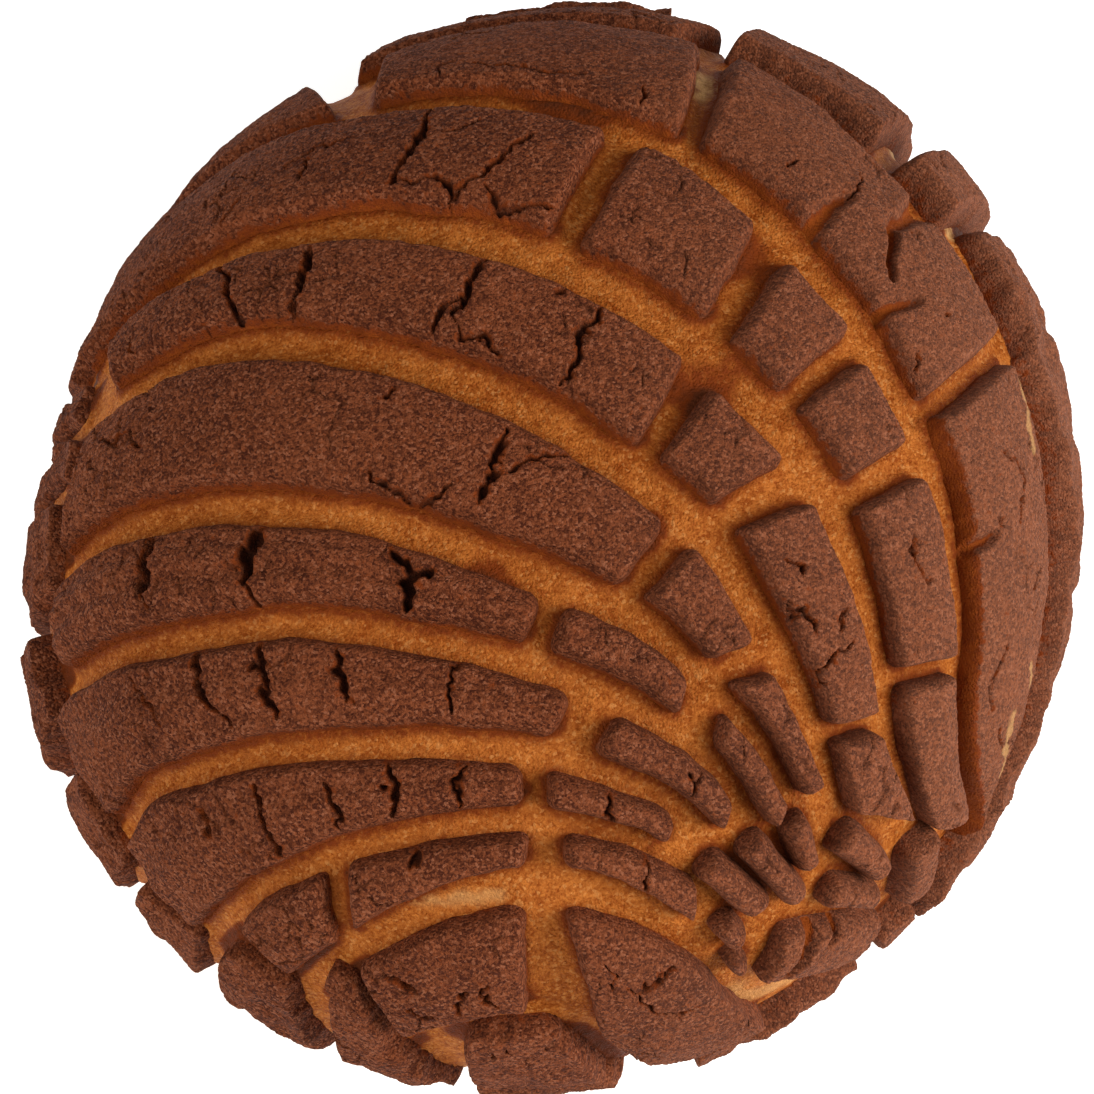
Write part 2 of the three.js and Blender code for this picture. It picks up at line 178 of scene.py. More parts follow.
# %% Grooves on the paste disc, each from the hinge out to the rim
GROOVES = [
    [[57, -43.5], [57, -33], [58.5, -14], [53, 5], [43, 19.5], [31, 31.5], [15.5, 43.5], [-6, 49], [-26, 48]],
    [[56, -46], [53, -38], [43.5, -27.5], [40, -14], [35, -0.5], [23.5, 15], [7, 28.5], [-17.5, 36],
     [-38, 37.5], [-60, 33.5]],
    [[50, -45], [35.5, -30.5], [30, -17], [23.5, -3], [10, 9.5], [-12, 20], [-34.5, 21],
     [-53, 15.5], [-72, 8.5]],
    [[29, -35], [22.5, -22.5], [12.5, -7.5], [-5.5, 4], [-24, 10], [-41.5, 9], [-59.5, 2.5], [-74, -5.5]],
    [[24.3, -34.6], [16.2, -23.2], [5.5, -14.5], [-10, -8], [-28, -5], [-46, -6], [-62.5, -13], [-74, -19]],
    [[20.5, -35.5], [12, -26], [-1, -19], [-16, -15.5], [-33, -16], [-50, -19.5], [-64.5, -27.5], [-73, -33]],
    [[17.5, -37], [8.3, -29.5], [-6, -25], [-22, -25.5], [-38, -30], [-51.5, -40], [-60.5, -47.5]],
    [[16, -39.5], [6, -33.5], [-7, -31.5], [-21.5, -36], [-34, -44.5], [-46, -56], [-52, -64]],
    [[23, -61], [14.7, -46.7], [2, -38.3], [-11, -40], [-22.5, -49], [-32, -62], [-38, -72]],
    [[35, -61], [24, -68.5], [13, -68.5], [5, -58], [-3, -54], [-12, -57], [-21, -64], [-29, -74]],
    [[53, -47], [60, -36], [65, -18], [63, -3], [56.5, 7], [46, 20], [41, 29]],
    [[21, 55], [9, 59.5], [-4, 61], [-19, 59]],
]

# %% Half the width of each groove, and of a usual cut: near the hinge and far from it
GROOVE_HALVES = [(0.6, 1.2), (0.7, 1.5), (0.85, 1.7), (0.85, 1.7), (0.35, 1.45), (0.6, 1.15),
                 (0.55, 1.1), (0.5, 1.05), (2.3, 1.8), (0.5, 1.0), (0.15, 0.3), (0.25, 0.5)]
CUT_HALVES = (0.45, 0.9)
HINGE = np.array([33.0, -42.0])
FAN_REACH = 40.0
RIM_REACH = 78.0
SPLINE_STEPS = 40


def groove_line(points):
    """Place at a share of a groove's length: Catmull-Rom through the points, end points doubled,
    with the length added up along the fine line."""
    knots = np.array([points[0], *points, points[-1]], float)
    before, start, end, after = knots[:-3, None], knots[1:-2, None], knots[2:-1, None], knots[3:, None]
    w = np.linspace(0, 1, SPLINE_STEPS, endpoint=False)[None, :, None]
    leave, arrive = (end - before) / 2, (after - start) / 2
    bend = (2 * start - 2 * end + leave + arrive) * w**3
    bend += (-3 * start + 3 * end - 2 * leave - arrive) * w**2
    fine = np.vstack([(bend + leave * w + start).reshape(-1, 2), knots[-1]])
    lengths = np.concatenate([[0], np.cumsum(np.hypot(*np.diff(fine, axis=0).T))])
    return lambda share: np.stack([np.interp(share * lengths[-1], lengths, fine[:, i]) for i in range(2)], -1)


def rim_line(degrees):
    """Place on the rim of the shell at a bearing in degrees."""
    return RIM_REACH * np.stack([np.cos(np.radians(degrees)), np.sin(np.radians(degrees))], -1)


# %% All lines, with the rim as the last one
RIM = len(GROOVES)
lines = [groove_line(points) for points in GROOVES] + [rim_line]
print("grooves:", len(GROOVES))

# %% [markdown]
# ## The tiles
# Between two grooves lies a rib, and short cuts across it part it into tiles. A tile is a patch: one share
# runs along its two grooves and another across from the inner groove to the outer one. Flaps hang round the
# rim, and small bars of paste crowd the hinge.

# %% Ribs: inner groove, outer groove, and cuts as shares of both grooves, with half the width of a wide one
RIBS = {
    "flap_east": (10, RIM, [[0, -46], [1, 36]]),
    "northeast_end": (0, RIM, [[0.515, 37], [0.575, 46]]),
    "northeast_side": (0, RIM, [[0.585, 48], [0.71, 69]]),
    "back_strip": (0, 11, [[0.735, 0], [0.98, 1]]),
    "northwest_strip": (1, RIM, [[0.74, 117], [0.95, 147]]),
    "rib_1": (1, 0, [[0.015, 0.01], [0.35, 0.43], [0.54, 0.71], [0.73, 0.955]]),
    "rib_2": (2, 1, [[0.07, 0.055], [0.2, 0.2], [0.308, 0.33, 1.3], [0.37, 0.403], [0.422, 0.478, 1.3],
                     [0.515, 0.575, 1.1], [0.885, 0.94]]),
    "rib_3": (3, 2, [[0.01, 0.085], [0.08, 0.175], [0.248, 0.328, 1.6], [0.305, 0.42, 1.1], [0.75, 0.83]]),
    "rib_4": (4, 3, [[0.02, 0.04], [0.161, 0.149, 1.2], [0.25, 0.255, 1.1], [0.785, 0.765]]),
    "rib_5": (5, 4, [[0, 0.03], [0.122, 0.156, 1.9], [0.27, 0.297], [0.765, 0.8]]),
    "rib_6": (6, 5, [[0.03, 0.06], [0.225, 0.21, 1.7], [0.8, 0.82]]),
    "rib_7": (7, 6, [[0.08, 0.09], [0.235, 0.25], [0.745, 0.8]]),
    "rib_8": (8, 7, [[0.205, 0.03], [0.395, 0.222, 1.3], [0.63, 0.445], [0.725, 0.66]]),
    "south_right": (9, 8, [[0.08, 0.02], [0.47, 0.39]]),
    "south_left": (9, 8, [[0.56, 0.4], [0.76, 0.64]]),
}

# %% Flaps: bearings of the upper and of the lower edge, reaches and thickness
FLAPS = {
    "flap_north": ([76.5, 99], [76.5, 99], [63, 77], 4.2),
    "flap_northwest": ([149.5, 162], [149.5, 162], [65, 78], 2.0),
    "flap_west_1": ([164.5, 170.5], [164.5, 171], [53, 77], 1.2),
    "flap_west_2": ([171.5, 178], [172, 178], [51, 77], 1.4),
    "flap_west_3": ([179.5, 190], [179.5, 190], [53.8, 78], 1.8),
    "flap_west_4": ([192, 203], [192, 206.5], [59.5, 78], 2.4),
    "flap_southwest_1": ([208, 220], [208.5, 220], [61, 78], 1.8),
    "flap_southwest_2": ([222, 231.5], [222, 232], [62, 78], 1.6),
    "flap_southwest_3": ([233.5, 243], [234, 248], [57, 78], 2.0),
    "flap_south_1": ([245.5, 249.5], [250.5, 262], [51.5, 77], 2.2),
    "flap_south_2": ([260.5, 271.5], [263.5, 279], [55.6, 77], 2.2),
    "flap_southeast_1": ([285, 306], [285, 306], [75, 85], 2.4),
    "flap_southeast_2": ([309, 315], [309, 315], [70, 82], 2.2),
}

# %% Crumbs at the hinge: middle, length, width and turn
CRUMBS = [
    ([24, -36], 6, 3, -60),
    ([32, -38.2], 9.5, 3.8, -35),
    ([32.3, -43.3], 8.5, 3.6, -17),
    ([44, -42.8], 10.5, 6, -62),
    ([21.3, -38.5], 10.5, 3.4, -45),
    ([17, -39.5], 9.5, 3.4, -43),
    ([17.6, -44.9], 4.6, 2.8, -53),
    ([19.3, -49.5], 4, 2.4, -51),
    ([31.8, -51.3], 17, 8.4, -10),
]

# %% Lift of the loose flap, thickness of the paste and radius of the corners, in millimetres
LIFTS = {"flap_east": 0.7}
PASTE_THICKNESS = 2.2
THICK_STRIPS = {"northeast_end": 3.6, "northeast_side": 3.4}
CRUMB_THICKNESS_SHARE = 0.8
TILE_CORNER = 1.4
FLAP_CORNER = 3.0


# %% Patches: a place on the disc from a share along and a share across
def rib_patch(inner, outer, start, end):
    """Straight blend across, from the inner line to the outer line at matching shares between two cuts."""
    def patch(along, across):
        inner_place = lines[inner](start[0] + (end[0] - start[0]) * along)
        outer_place = lines[outer](start[1] + (end[1] - start[1]) * along)
        return inner_place + (outer_place - inner_place) * across[..., None]
    return patch


def flap_patch(upper, lower, reaches):
    """Polar patch: along turns through the bearings, which change from the upper edge to the lower one, and
    across runs out through the reaches."""
    def patch(along, across):
        high = upper[0] + (upper[1] - upper[0]) * along
        low = lower[0] + (lower[1] - lower[0]) * along
        bearing = np.radians(high + (low - high) * across)
        reach = reaches[0] + (reaches[1] - reaches[0]) * across
        return np.stack([reach * np.cos(bearing), reach * np.sin(bearing)], -1)
    return patch


def crumb_patch(middle, length, width, turn):
    """Turned rectangle: across runs to the right of along."""
    def patch(along, across):
        x, y = (along - 0.5) * length, (0.5 - across) * width
        cosine, sine = np.cos(np.radians(turn)), np.sin(np.radians(turn))
        return np.stack([middle[0] + x * cosine - y * sine, middle[1] + x * sine + y * cosine], -1)
    return patch


def cut_halves(cut):
    """Half width of a cut: its own third number, or the usual pair."""
    return (cut[2], cut[2]) if len(cut) == 3 else CUT_HALVES


NONE = (0.0, 0.0)
NO_GROOVES = (NONE, NONE, NONE, NONE)
tiles = {}
for name, (inner, outer, cuts) in RIBS.items():
    sides = (GROOVE_HALVES[inner], NONE if outer == RIM else GROOVE_HALVES[outer])
    lift, thickness = LIFTS.get(name, 0.0), THICK_STRIPS.get(name, PASTE_THICKNESS)
    for index, (start, end) in enumerate(zip(cuts[:-1], cuts[1:])):
        tile_name = name if len(cuts) == 2 else f"{name}_{'abcdefgh'[index]}"
        halves = (*sides, cut_halves(start), cut_halves(end))
        tiles[tile_name] = (rib_patch(inner, outer, start, end), halves, TILE_CORNER, lift, thickness)
for name, (upper, lower, reaches, thickness) in FLAPS.items():
    tiles[name] = (flap_patch(upper, lower, reaches), NO_GROOVES, FLAP_CORNER, 0.0, thickness)
for index, (middle, length, width, turn) in enumerate(CRUMBS):
    thickness = min(PASTE_THICKNESS, CRUMB_THICKNESS_SHARE * width)
    patch = crumb_patch(middle, length, width, turn)
    tiles[f"hinge_crumb_{index + 1}"] = (patch, NO_GROOVES, TILE_CORNER, 0.0, thickness)
print("tiles:", len(tiles))

# %% [markdown]
# ## A grid for one tile
# Each tile gives up half of every groove round it, and its corners are round. A grid with even steps would
# spend its points on the flat top and leave the steep edge coarse, so the steps shrink towards the edge.

# %% Steps of the tile's grid in millimetres, and how far its hand-cut outline wanders
WANDER = [(0.3, 6.0, 1), (0.13, 1.7, 3)]
CORNER_SHARE = 0.8
GRID_STEP = 0.165
EDGE_STEPS = 10
MIDDLE_STEPS = 60


def half_width(halves, places):
    """Half width of a groove: it grows evenly with the distance from the hinge."""
    away = np.hypot(*np.moveaxis(places - HINGE, -1, 0))
    return halves[0] + (halves[1] - halves[0]) * np.clip(away / FAN_REACH, 0, 1)


def wander(places, looseness):
    """Hand-cut lines are never true: each place moves a little by two sizes of noise, loose pieces more."""
    return places + looseness * np.stack(shifts(places, WANDER), -1)


def graded(length, edge):
    """Positions from 0 to length: quarter-cosine steps inside each edge, even steps between them."""
    near = edge * (1 - np.cos(np.linspace(0, np.pi / 2, EDGE_STEPS + 1)))
    even = np.linspace(edge, length - edge, max(2, round((length - 2 * edge) / GRID_STEP)) + 1)
    return np.concatenate([near[:-1], even, length - near[-2::-1]])


def tile_grid(patch, halves, largest_corner):
    """Grid of places on one tile, with each point's distance from the hinge end, from the far end, from
    the inner side and from the outer side, and the tile's corner radius."""
    inner, outer, start_cut, end_cut = halves
    middle_line = patch(np.linspace(0, 1, MIDDLE_STEPS), np.full(MIDDLE_STEPS, 0.5))
    full_length = np.hypot(*np.diff(middle_line, axis=0).T).sum()
    start_room = half_width(start_cut, middle_line[0]) / full_length
    end_room = half_width(end_cut, middle_line[-1]) / full_length
    length = full_length * (1 - start_room - end_room)

    def across_sizes(along):
        share = start_room + (1 - start_room - end_room) * along
        width = np.hypot(*(patch(share, np.ones_like(share)) - patch(share, np.zeros_like(share))).T)
        places = patch(share, np.full_like(share, 0.5))
        left, right = half_width(inner, places), half_width(outer, places)
        return share, width, (width - left - right) / 2, 0.5 + (left - right) / 2 / width

    end_halves = across_sizes(np.array([0.0, 1.0]))[2]
    corner = min(largest_corner, CORNER_SHARE * min(*end_halves, length / 2))
    from_start = graded(length, corner)
    share, width, half, middle = across_sizes(from_start / length)
    left = np.maximum(corner - np.minimum(from_start, length - from_start), 0)
    inset = corner - np.sqrt(corner**2 - left**2)
    rows = graded(2 * half.mean(), corner) / (2 * half.mean())
    offset = (2 * rows - 1) * (half - inset)[:, None]
    share = np.broadcast_to(share[:, None], offset.shape)
    places = patch(share, middle[:, None] + offset / width[:, None])
    from_start = np.broadcast_to(from_start[:, None], offset.shape)
    return places, from_start, length - from_start, half[:, None] + offset, half[:, None] - offset, corner


sample = tile_grid(*tiles["rib_3_d"][:3])
print("longest rib's grid:", sample[0].shape[:2], "corner", round(sample[5], 2), "mm")

# %% [markdown]
# ## The edge of a tile
# The stamp presses the paste down towards the hinge and drags it, so the side of a tile next to its inner
# groove slopes gently and wears thin, while its outer side stays steep and crisp. A Bevel modifier rounds all
# edges alike. Here the height is a function of the distance from the edge, with its own width on each side.

# %% Shoulders and bands of wear: for each side the width near the hinge and far from it, then the slope
FAN_SPAN = (12.0, 60.0)
SHOULDERS = {
    "hinge end": (0.7, 0.9, 0.1),
    "far end": (0.9, 1.5, 0.35),
    "inner side": (0.8, 1.4, 0.4),
    "outer side": (0.7, 1.0, 0.05),
}
WEAR = {
    "hinge end": (0.05, 0.25),
    "far end": (0.05, 0.4),
    "inner side": (0.05, 0.9),
    "outer side": (0.05, 0.15),
}
ARC_WIDTH = 0.25


def fan(places):
    """Share that grows from the hinge out: 0 near it, 1 far from it."""
    return ease(np.hypot(*np.moveaxis(places - HINGE, -1, 0)), *FAN_SPAN)


def edge_distance(from_start, from_end, from_inner, from_outer, corner):
    """Distance inside a rectangle with round corners: the radius less the distance to the corner's centre,
    or the smaller distance to a side."""
    ends, sides = np.minimum(from_start, from_end), np.minimum(from_inner, from_outer)
    in_corner = corner - np.hypot(np.maximum(corner - ends, 0), np.maximum(corner - sides, 0))
    return np.where((ends < corner) & (sides < corner), in_corner, np.minimum(ends, sides))


def shoulder(distance, width, slope):
    """Share of the full height: a quarter circle at a crisp edge, mixed with a smooth step at a worn one."""
    share = np.clip(distance / width, 0, 1)
    crisp = np.sqrt(1 - (1 - share) ** 2)
    worn = ease(share, 0, 1)
    return crisp + (worn - crisp) * slope


def tile_body(grid, softness):
    """Share of the full height at each point: the product of the shoulders of the four sides and the rim.
    The softness widens every shoulder."""
    reached = fan(grid[0])
    body = shoulder(edge_distance(*grid[1:]), ARC_WIDTH, 0)
    for distance, (near, far, slope) in zip(grid[1:5], SHOULDERS.values()):
        width = softness * (near + (far - near) * reached)
        body = body * shoulder(distance, width, slope * reached)
    return body


def tile_wear(grid):
    """Share of wear at each point: the largest of the four sides' bands."""
    reached = fan(grid[0])
    wear = np.zeros(reached.shape)
    for distance, (near, far) in zip(grid[1:5], WEAR.values()):
        wear = np.maximum(wear, ease(distance, near + (far - near) * reached, 0))
    return wear


sample_body = tile_body(sample, 1.0)
print("sample tile: lowest and highest share", sample_body.min(), sample_body.max())

# %% [markdown]
# ## Cracks
# As the bun swells, the dry paste tears across its ribs. A crack could be cut with a Boolean, but so many
# cuts make poor meshes. Each crack here is a bent line through a few places of its tile, and the surface
# sinks where it is near that line. Noise shakes the places before their distance is measured, so the cracks
# are jagged.

# %% Cracks of each tile: half width in mm, then places as shares along and across the tile
CRACKS = {
    "rib_1_a": [
        (0.14, [(0.87, 0.45), (0.8, 0.6), (0.74, 0.5)]),
        (0.18, [(0.77, 0.26), (0.75, 0.3)]),
        (0.15, [(0.53, 0.3), (0.48, 0.18), (0.42, 0.22)]),
        (0.14, [(0.36, 0.3), (0.3, 0.42)]),
        (0.15, [(0.62, 0.75), (0.6, 0.62)]),
    ],
    "rib_1_b": [
        (0.3, [(0.15, 0.46), (0.14, 0.47)]),
        (0.2, [(0.11, 0.1), (0.08, 0.06)]),
        (0.2, [(0.54, 0.44), (0.53, 0.53), (0.55, 0.64)]),
        (0.15, [(0.74, 0.2), (0.72, 0.32)]),
    ],
    "rib_1_c": [
        (0.16, [(0.66, 0.2), (0.58, 0.16), (0.48, 0.2), (0.4, 0.16), (0.32, 0.2)]),
        (0.2, [(0.15, 0.2), (0.14, 0.04)]),
    ],
    "rib_2_b": [
        (0.13, [(0.72, 0.5), (0.6, 0.44), (0.46, 0.56)]),
    ],
    "rib_2_f": [
        (0.38, [(0.27, 0.96), (0.26, 0.6), (0.27, 0.3), (0.27, 0.13)]),
        (0.22, [(0.26, 0.18), (0.21, 0.22), (0.17, 0.1), (0.14, 0.22), (0.12, 0.46), (0.1, 0.68)]),
        (0.22, [(0.12, 0.16), (0.1, 0.08), (0.07, 0.05), (0.04, 0.14), (0.01, 0.2)]),
        (0.18, [(0.17, 0.1), (0.16, 0.02)]),
        (0.14, [(0.22, 0.66), (0.18, 0.74)]),
        (0.16, [(0.44, 0.3), (0.46, 0.5)]),
        (0.14, [(0.58, 0.1), (0.56, 0.3)]),
        (0.13, [(0.49, 0.44), (0.45, 0.6), (0.38, 0.68)]),
    ],
    "rib_3_b": [
        (0.2, [(0.62, 0.12), (0.56, 0.1), (0.57, 0.24), (0.5, 0.32), (0.45, 0.28)]),
        (0.22, [(0.22, 0.12), (0.3, 0.1), (0.32, 0.32), (0.38, 0.62)]),
        (0.14, [(0.45, 0.55), (0.52, 0.72)]),
        (0.14, [(0.78, 0.3), (0.74, 0.42), (0.7, 0.38)]),
    ],
    "rib_3_d": [
        (0.42, [(0.73, 0.86), (0.71, 0.45), (0.69, 0.08)]),
        (0.5, [(0.57, 0.86), (0.58, 0.5), (0.59, 0.2)]),
        (0.2, [(0.59, 0.22), (0.6, 0.08)]),
        (0.16, [(0.76, 0.12), (0.75, 0.02)]),
        (0.16, [(0.92, 0.4), (0.9, 0.2)]),
        (0.4, [(0.31, 0.92), (0.32, 0.55), (0.33, 0.3)]),
        (0.28, [(0.33, 0.54), (0.35, 0.35), (0.37, 0.14)]),
        (0.2, [(0.33, 0.26), (0.32, 0.17), (0.28, 0.2), (0.24, 0.08)]),
        (0.3, [(0.14, 0.95), (0.14, 0.7), (0.15, 0.52), (0.14, 0.3), (0.14, 0.14)]),
        (0.14, [(0.2, 0.83), (0.18, 0.9)]),
    ],
    "rib_4_c": [
        (0.22, [(0.43, 0.78), (0.42, 0.86)]),
        (0.34, [(0.26, 0.9), (0.25, 0.68), (0.23, 0.46), (0.23, 0.22)]),
        (0.17, [(0.22, 0.54), (0.21, 0.68), (0.2, 0.86), (0.17, 0.96)]),
        (0.24, [(0.39, 0.2), (0.37, 0.15), (0.33, 0.1), (0.31, 0.04), (0.28, 0.12), (0.27, 0.26)]),
        (0.16, [(0.91, 0.7), (0.86, 0.56), (0.83, 0.62), (0.79, 0.4)]),
    ],
    "rib_5_c": [
        (0.74, [(0.67, 0.9), (0.67, 0.64), (0.67, 0.4)]),
        (0.2, [(0.67, 0.42), (0.66, 0.2)]),
        (0.95, [(0.45, 0.92), (0.46, 0.66), (0.46, 0.34)]),
        (0.22, [(0.46, 0.36), (0.45, 0.14), (0.44, 0.04)]),
        (0.5, [(0.23, 0.92), (0.2, 0.72), (0.18, 0.55)]),
        (0.75, [(0.17, 0.78), (0.19, 0.5), (0.18, 0.2)]),
    ],
    "rib_6_a": [
        (0.2, [(0.33, 0.8), (0.36, 0.5), (0.32, 0.25)]),
        (0.15, [(0.36, 0.5), (0.44, 0.55)]),
    ],
    "rib_6_b": [
        (0.15, [(0.69, 0.86), (0.67, 0.62), (0.66, 0.4)]),
        (0.4, [(0.55, 0.99), (0.56, 0.7), (0.55, 0.4)]),
        (0.18, [(0.55, 0.42), (0.52, 0.18)]),
        (0.42, [(0.44, 0.96), (0.45, 0.74), (0.44, 0.5), (0.44, 0.26)]),
        (0.4, [(0.33, 0.94), (0.33, 0.66), (0.31, 0.34)]),
        (0.24, [(0.17, 0.92), (0.17, 0.6), (0.16, 0.22)]),
    ],
    "rib_7_a": [
        (0.22, [(0.5, 0.98), (0.52, 0.5), (0.49, 0.2)]),
    ],
    "rib_7_b": [
        (0.32, [(0.51, 0.9), (0.52, 0.55), (0.53, 0.25), (0.54, 0.1)]),
        (0.26, [(0.36, 0.8), (0.36, 0.5), (0.37, 0.15)]),
        (0.42, [(0.24, 0.98), (0.24, 0.6), (0.25, 0.15)]),
        (0.28, [(0.11, 0.97), (0.12, 0.6), (0.12, 0.2)]),
        (0.15, [(0.66, 0.8), (0.67, 0.5)]),
    ],
    "rib_8_a": [
        (0.22, [(0.44, 0.98), (0.46, 0.5), (0.45, 0.2)]),
    ],
    "rib_8_b": [
        (0.35, [(0.57, 0.99), (0.58, 0.72)]),
    ],
    "south_left": [
        (0.16, [(0.75, 0.81), (0.69, 0.66), (0.63, 0.54)]),
        (0.3, [(0.37, 0.41), (0.35, 0.37)]),
        (0.17, [(0.45, 0.2), (0.41, 0.3), (0.36, 0.34)]),
        (0.2, [(0.24, 0.45), (0.26, 0.28), (0.18, 0.18)]),
        (0.16, [(0.75, 0.41), (0.69, 0.3), (0.62, 0.24)]),
    ],
    "south_right": [
        (0.17, [(0.89, 0.76), (0.83, 0.71), (0.89, 0.6)]),
        (0.2, [(0.8, 0.65), (0.74, 0.68), (0.66, 0.8), (0.59, 0.93)]),
        (0.2, [(0.74, 0.68), (0.72, 0.62), (0.61, 0.6), (0.47, 0.72)]),
    ],
    "flap_south_2": [
        (0.3, [(0.42, 0.15), (0.43, 0.18)]),
        (0.3, [(0.27, 0.16), (0.27, 0.19)]),
    ],
}

# %% Nicks that the stamp leaves in the first rib and in the largest crumb, in the same way
NICKS = {
    "rib_1_a": [(0.9, [(0.755, -0.1), (0.745, 0.22)])],
    "hinge_crumb_9": [(1.1, [(0.22, -0.1), (0.25, 0.4), (0.2, 0.8)]), (0.8, [(0.45, -0.1), (0.43, 0.3)])],
    "rib_1_b": [
        (1.25, [(0.62, -0.1), (0.58, 0.2), (0.545, 0.42)]),
        (1.2, [(0.36, 1.1), (0.38, 0.8), (0.41, 0.5)]),
        (0.7, [(0.4, 0.5), (0.37, 0.36), (0.32, 0.24)]),
        (0.9, [(0.3, -0.1), (0.27, 0.1), (0.22, 0.32)]),
    ],
}

# %% Section of the cracks, of the nicks and of the net of hairlines, in millimetres
CRACK_SHAKE = [(0.4, 1.2, 21), (0.25, 0.5, 23)]
CRACK_RAGGED = [(0.45, 0.6, 27)]
CRACK_TAPER = (0.2, 0.55)
CRACK_LIP = (0.1, 0.2)
CRACK_DEPTH = (0.8, 1.6)
CRUMBLED_LIPS = 3
NICK_SHAKE = [(0.25, 1.5, 25)]
NICK_DEPTH = 1.7
NICK_SHALLOWING = 0.4
NICK_WIDTHS = (1.5, 0.6)
NICK_FLOOR = 0.1
NET_SHAKE = [(0.5, 1.1, 31)]
NET_CELL = (2.6, 33)
NET_DEPTH = 0.35
NET_EDGE = (0.3, 0.08)
NET_PATCHES = [((7.0, 35), (0.05, 0.4)), ((1.7, 36), (-0.05, 0.25))]


# %% Depth cut by cracks, nicks and hairlines
def line_distance(x, y, points):
    """Distance to a bent line through the points, and the share of its length where it is nearest."""
    steps = np.hypot(*np.diff(points, axis=0).T)
    reached = np.concatenate([[0], np.cumsum(steps)]) / steps.sum()
    nearest_so_far, share = np.full(x.shape, np.inf), np.zeros(x.shape)
    for index, (start, end) in enumerate(zip(points[:-1], points[1:])):
        run = end - start
        part = np.clip(((x - start[0]) * run[0] + (y - start[1]) * run[1]) / (run @ run), 0, 1)
        distance = np.hypot(x - start[0] - part * run[0], y - start[1] - part * run[1])
        closer = distance < nearest_so_far
        nearest_so_far = np.where(closer, distance, nearest_so_far)
        share = np.where(closer, reached[index] + part * (reached[index + 1] - reached[index]), share)
    return nearest_so_far, share


def in_millimetres(grid, points):
    """Places along and across a tile in mm, from their shares."""
    along, across = np.array(points).T
    length = grid[1][-1, 0]
    width = np.interp(along, grid[1][:, 0] / length, (grid[3] + grid[4])[:, 0])
    return np.stack([along * length, across * width], -1)


def shaken(grid, layers):
    """Distances along and across a tile, moved by noise."""
    along, across = shifts(grid[0], layers)
    return grid[1] + along, grid[3] + across


def crack_cut(grid, cracks):
    """Depth cut by a tile's cracks, and the share of crumbled paste beside them: full depth inside a half
    width that tapers to both ends, and a lip that is wider on a wide crack."""
    x, y = shaken(grid, CRACK_SHAKE)
    ragged = 1 + layered(grid[0], CRACK_RAGGED)
    cut, crumbled = np.zeros(x.shape), np.zeros(x.shape)
    for half, points in cracks:
        distance, share = line_distance(x, y, in_millimetres(grid, points))
        reach = half * (CRACK_TAPER[0] + CRACK_TAPER[1] * np.sqrt(4 * share * (1 - share))) * ragged
        lip = CRACK_LIP[0] + CRACK_LIP[1] * half
        depth = CRACK_DEPTH[0] + CRACK_DEPTH[1] * half
        cut = np.maximum(cut, depth * ease(distance, reach + lip, reach - lip))
        crumbled = np.maximum(crumbled, ease(distance, reach + CRUMBLED_LIPS * lip, reach))
    return cut, crumbled


def nick_cut(grid, nicks):
    """Depth cut by a tile's nicks: a round valley, widest where the line starts at the tile's edge."""
    x, y = shaken(grid, NICK_SHAKE)
    cut = np.zeros(x.shape)
    for half, points in nicks:
        distance, share = line_distance(x, y, in_millimetres(grid, points))
        reach = half * (NICK_WIDTHS[0] - NICK_WIDTHS[1] * share)
        depth = NICK_DEPTH * (1 - NICK_SHALLOWING * share)
        cut = np.maximum(cut, depth * ease(distance, reach, NICK_FLOOR))
    return cut


def hairline_cut(places):
    """Depth of hairline cracks: borders of a wandering net of cells, kept only where slow noise is high and
    broken up by quick noise."""
    border = cell_border(places + np.stack(shifts(places, NET_SHAKE), -1), *NET_CELL)
    cut = NET_DEPTH * ease(border, *NET_EDGE)
    for lumps, span in NET_PATCHES:
        cut = cut * ease(noise(places, *lumps), *span)
    return cut


print("cracks:", sum(map(len, CRACKS.values())), "nicks:", sum(map(len, NICKS.values())))

# %% [markdown]
# ## The paste's surface
# Baked cocoa paste is like a dry biscuit: it bulges slightly, and its skin is a fine grain with tiny pits.
# These are real relief in the mesh, so that they show in any light, and the material only adds what is finer.

# %% Heights of the paste in millimetres
BREAD_GAP = 0.35
TILE_CROWN = 0.5
FINGER_CROWN = 0.3
SINK = 0.5
LEAST_HEIGHT = 0.3
PRESS_DEPTH = 0.2
LUMPS = [(0.2, 8.0, 11), (0.1, 2.7, 12)]
FLAP_LUMPS = [(0.5, 3.5, 19)]
GRAIN = [(0.05, 0.8, 13), (0.05, 0.4, 14)]
PIT_DEPTH = 0.07
PIT_CELL = (0.55, 15)
PIT_EDGE = (0, 0.275)
CRUMBLE = [(0.3, 1.1, 17), (0.22, 0.55, 18)]
CRACK_FADE = (0.1, 0.7)
NICK_FADE = (0, 0.3)

# %% Tiles that differ: lines pressed by the stamp, worn slopes in mm, soft edges, and loose tiles' wear
PRESS_LINES = {"rib_5_c": 3, "rib_6_b": 2, "rib_7_b": 2}
WORN_SLOPES = {"rib_1_a": 1.6}
CRUMB_SOFTNESS = 1.6
LOOSE_NAMES = ("flap", "northeast", "hinge")
LOOSE_WEAR = 0.3

# %% Shares of crumble, of wear and of painted crack shade, and the depth in mm at which that painted shade is darkest
LEAST_CRUMBLE = 0.3
CRUMBLED_WEAR = 0.4
NICK_WEAR = (0.4, 0.8)
CRACK_SHADE_STRENGTH = 0.8
DARKEST_DEPTH = 1.2


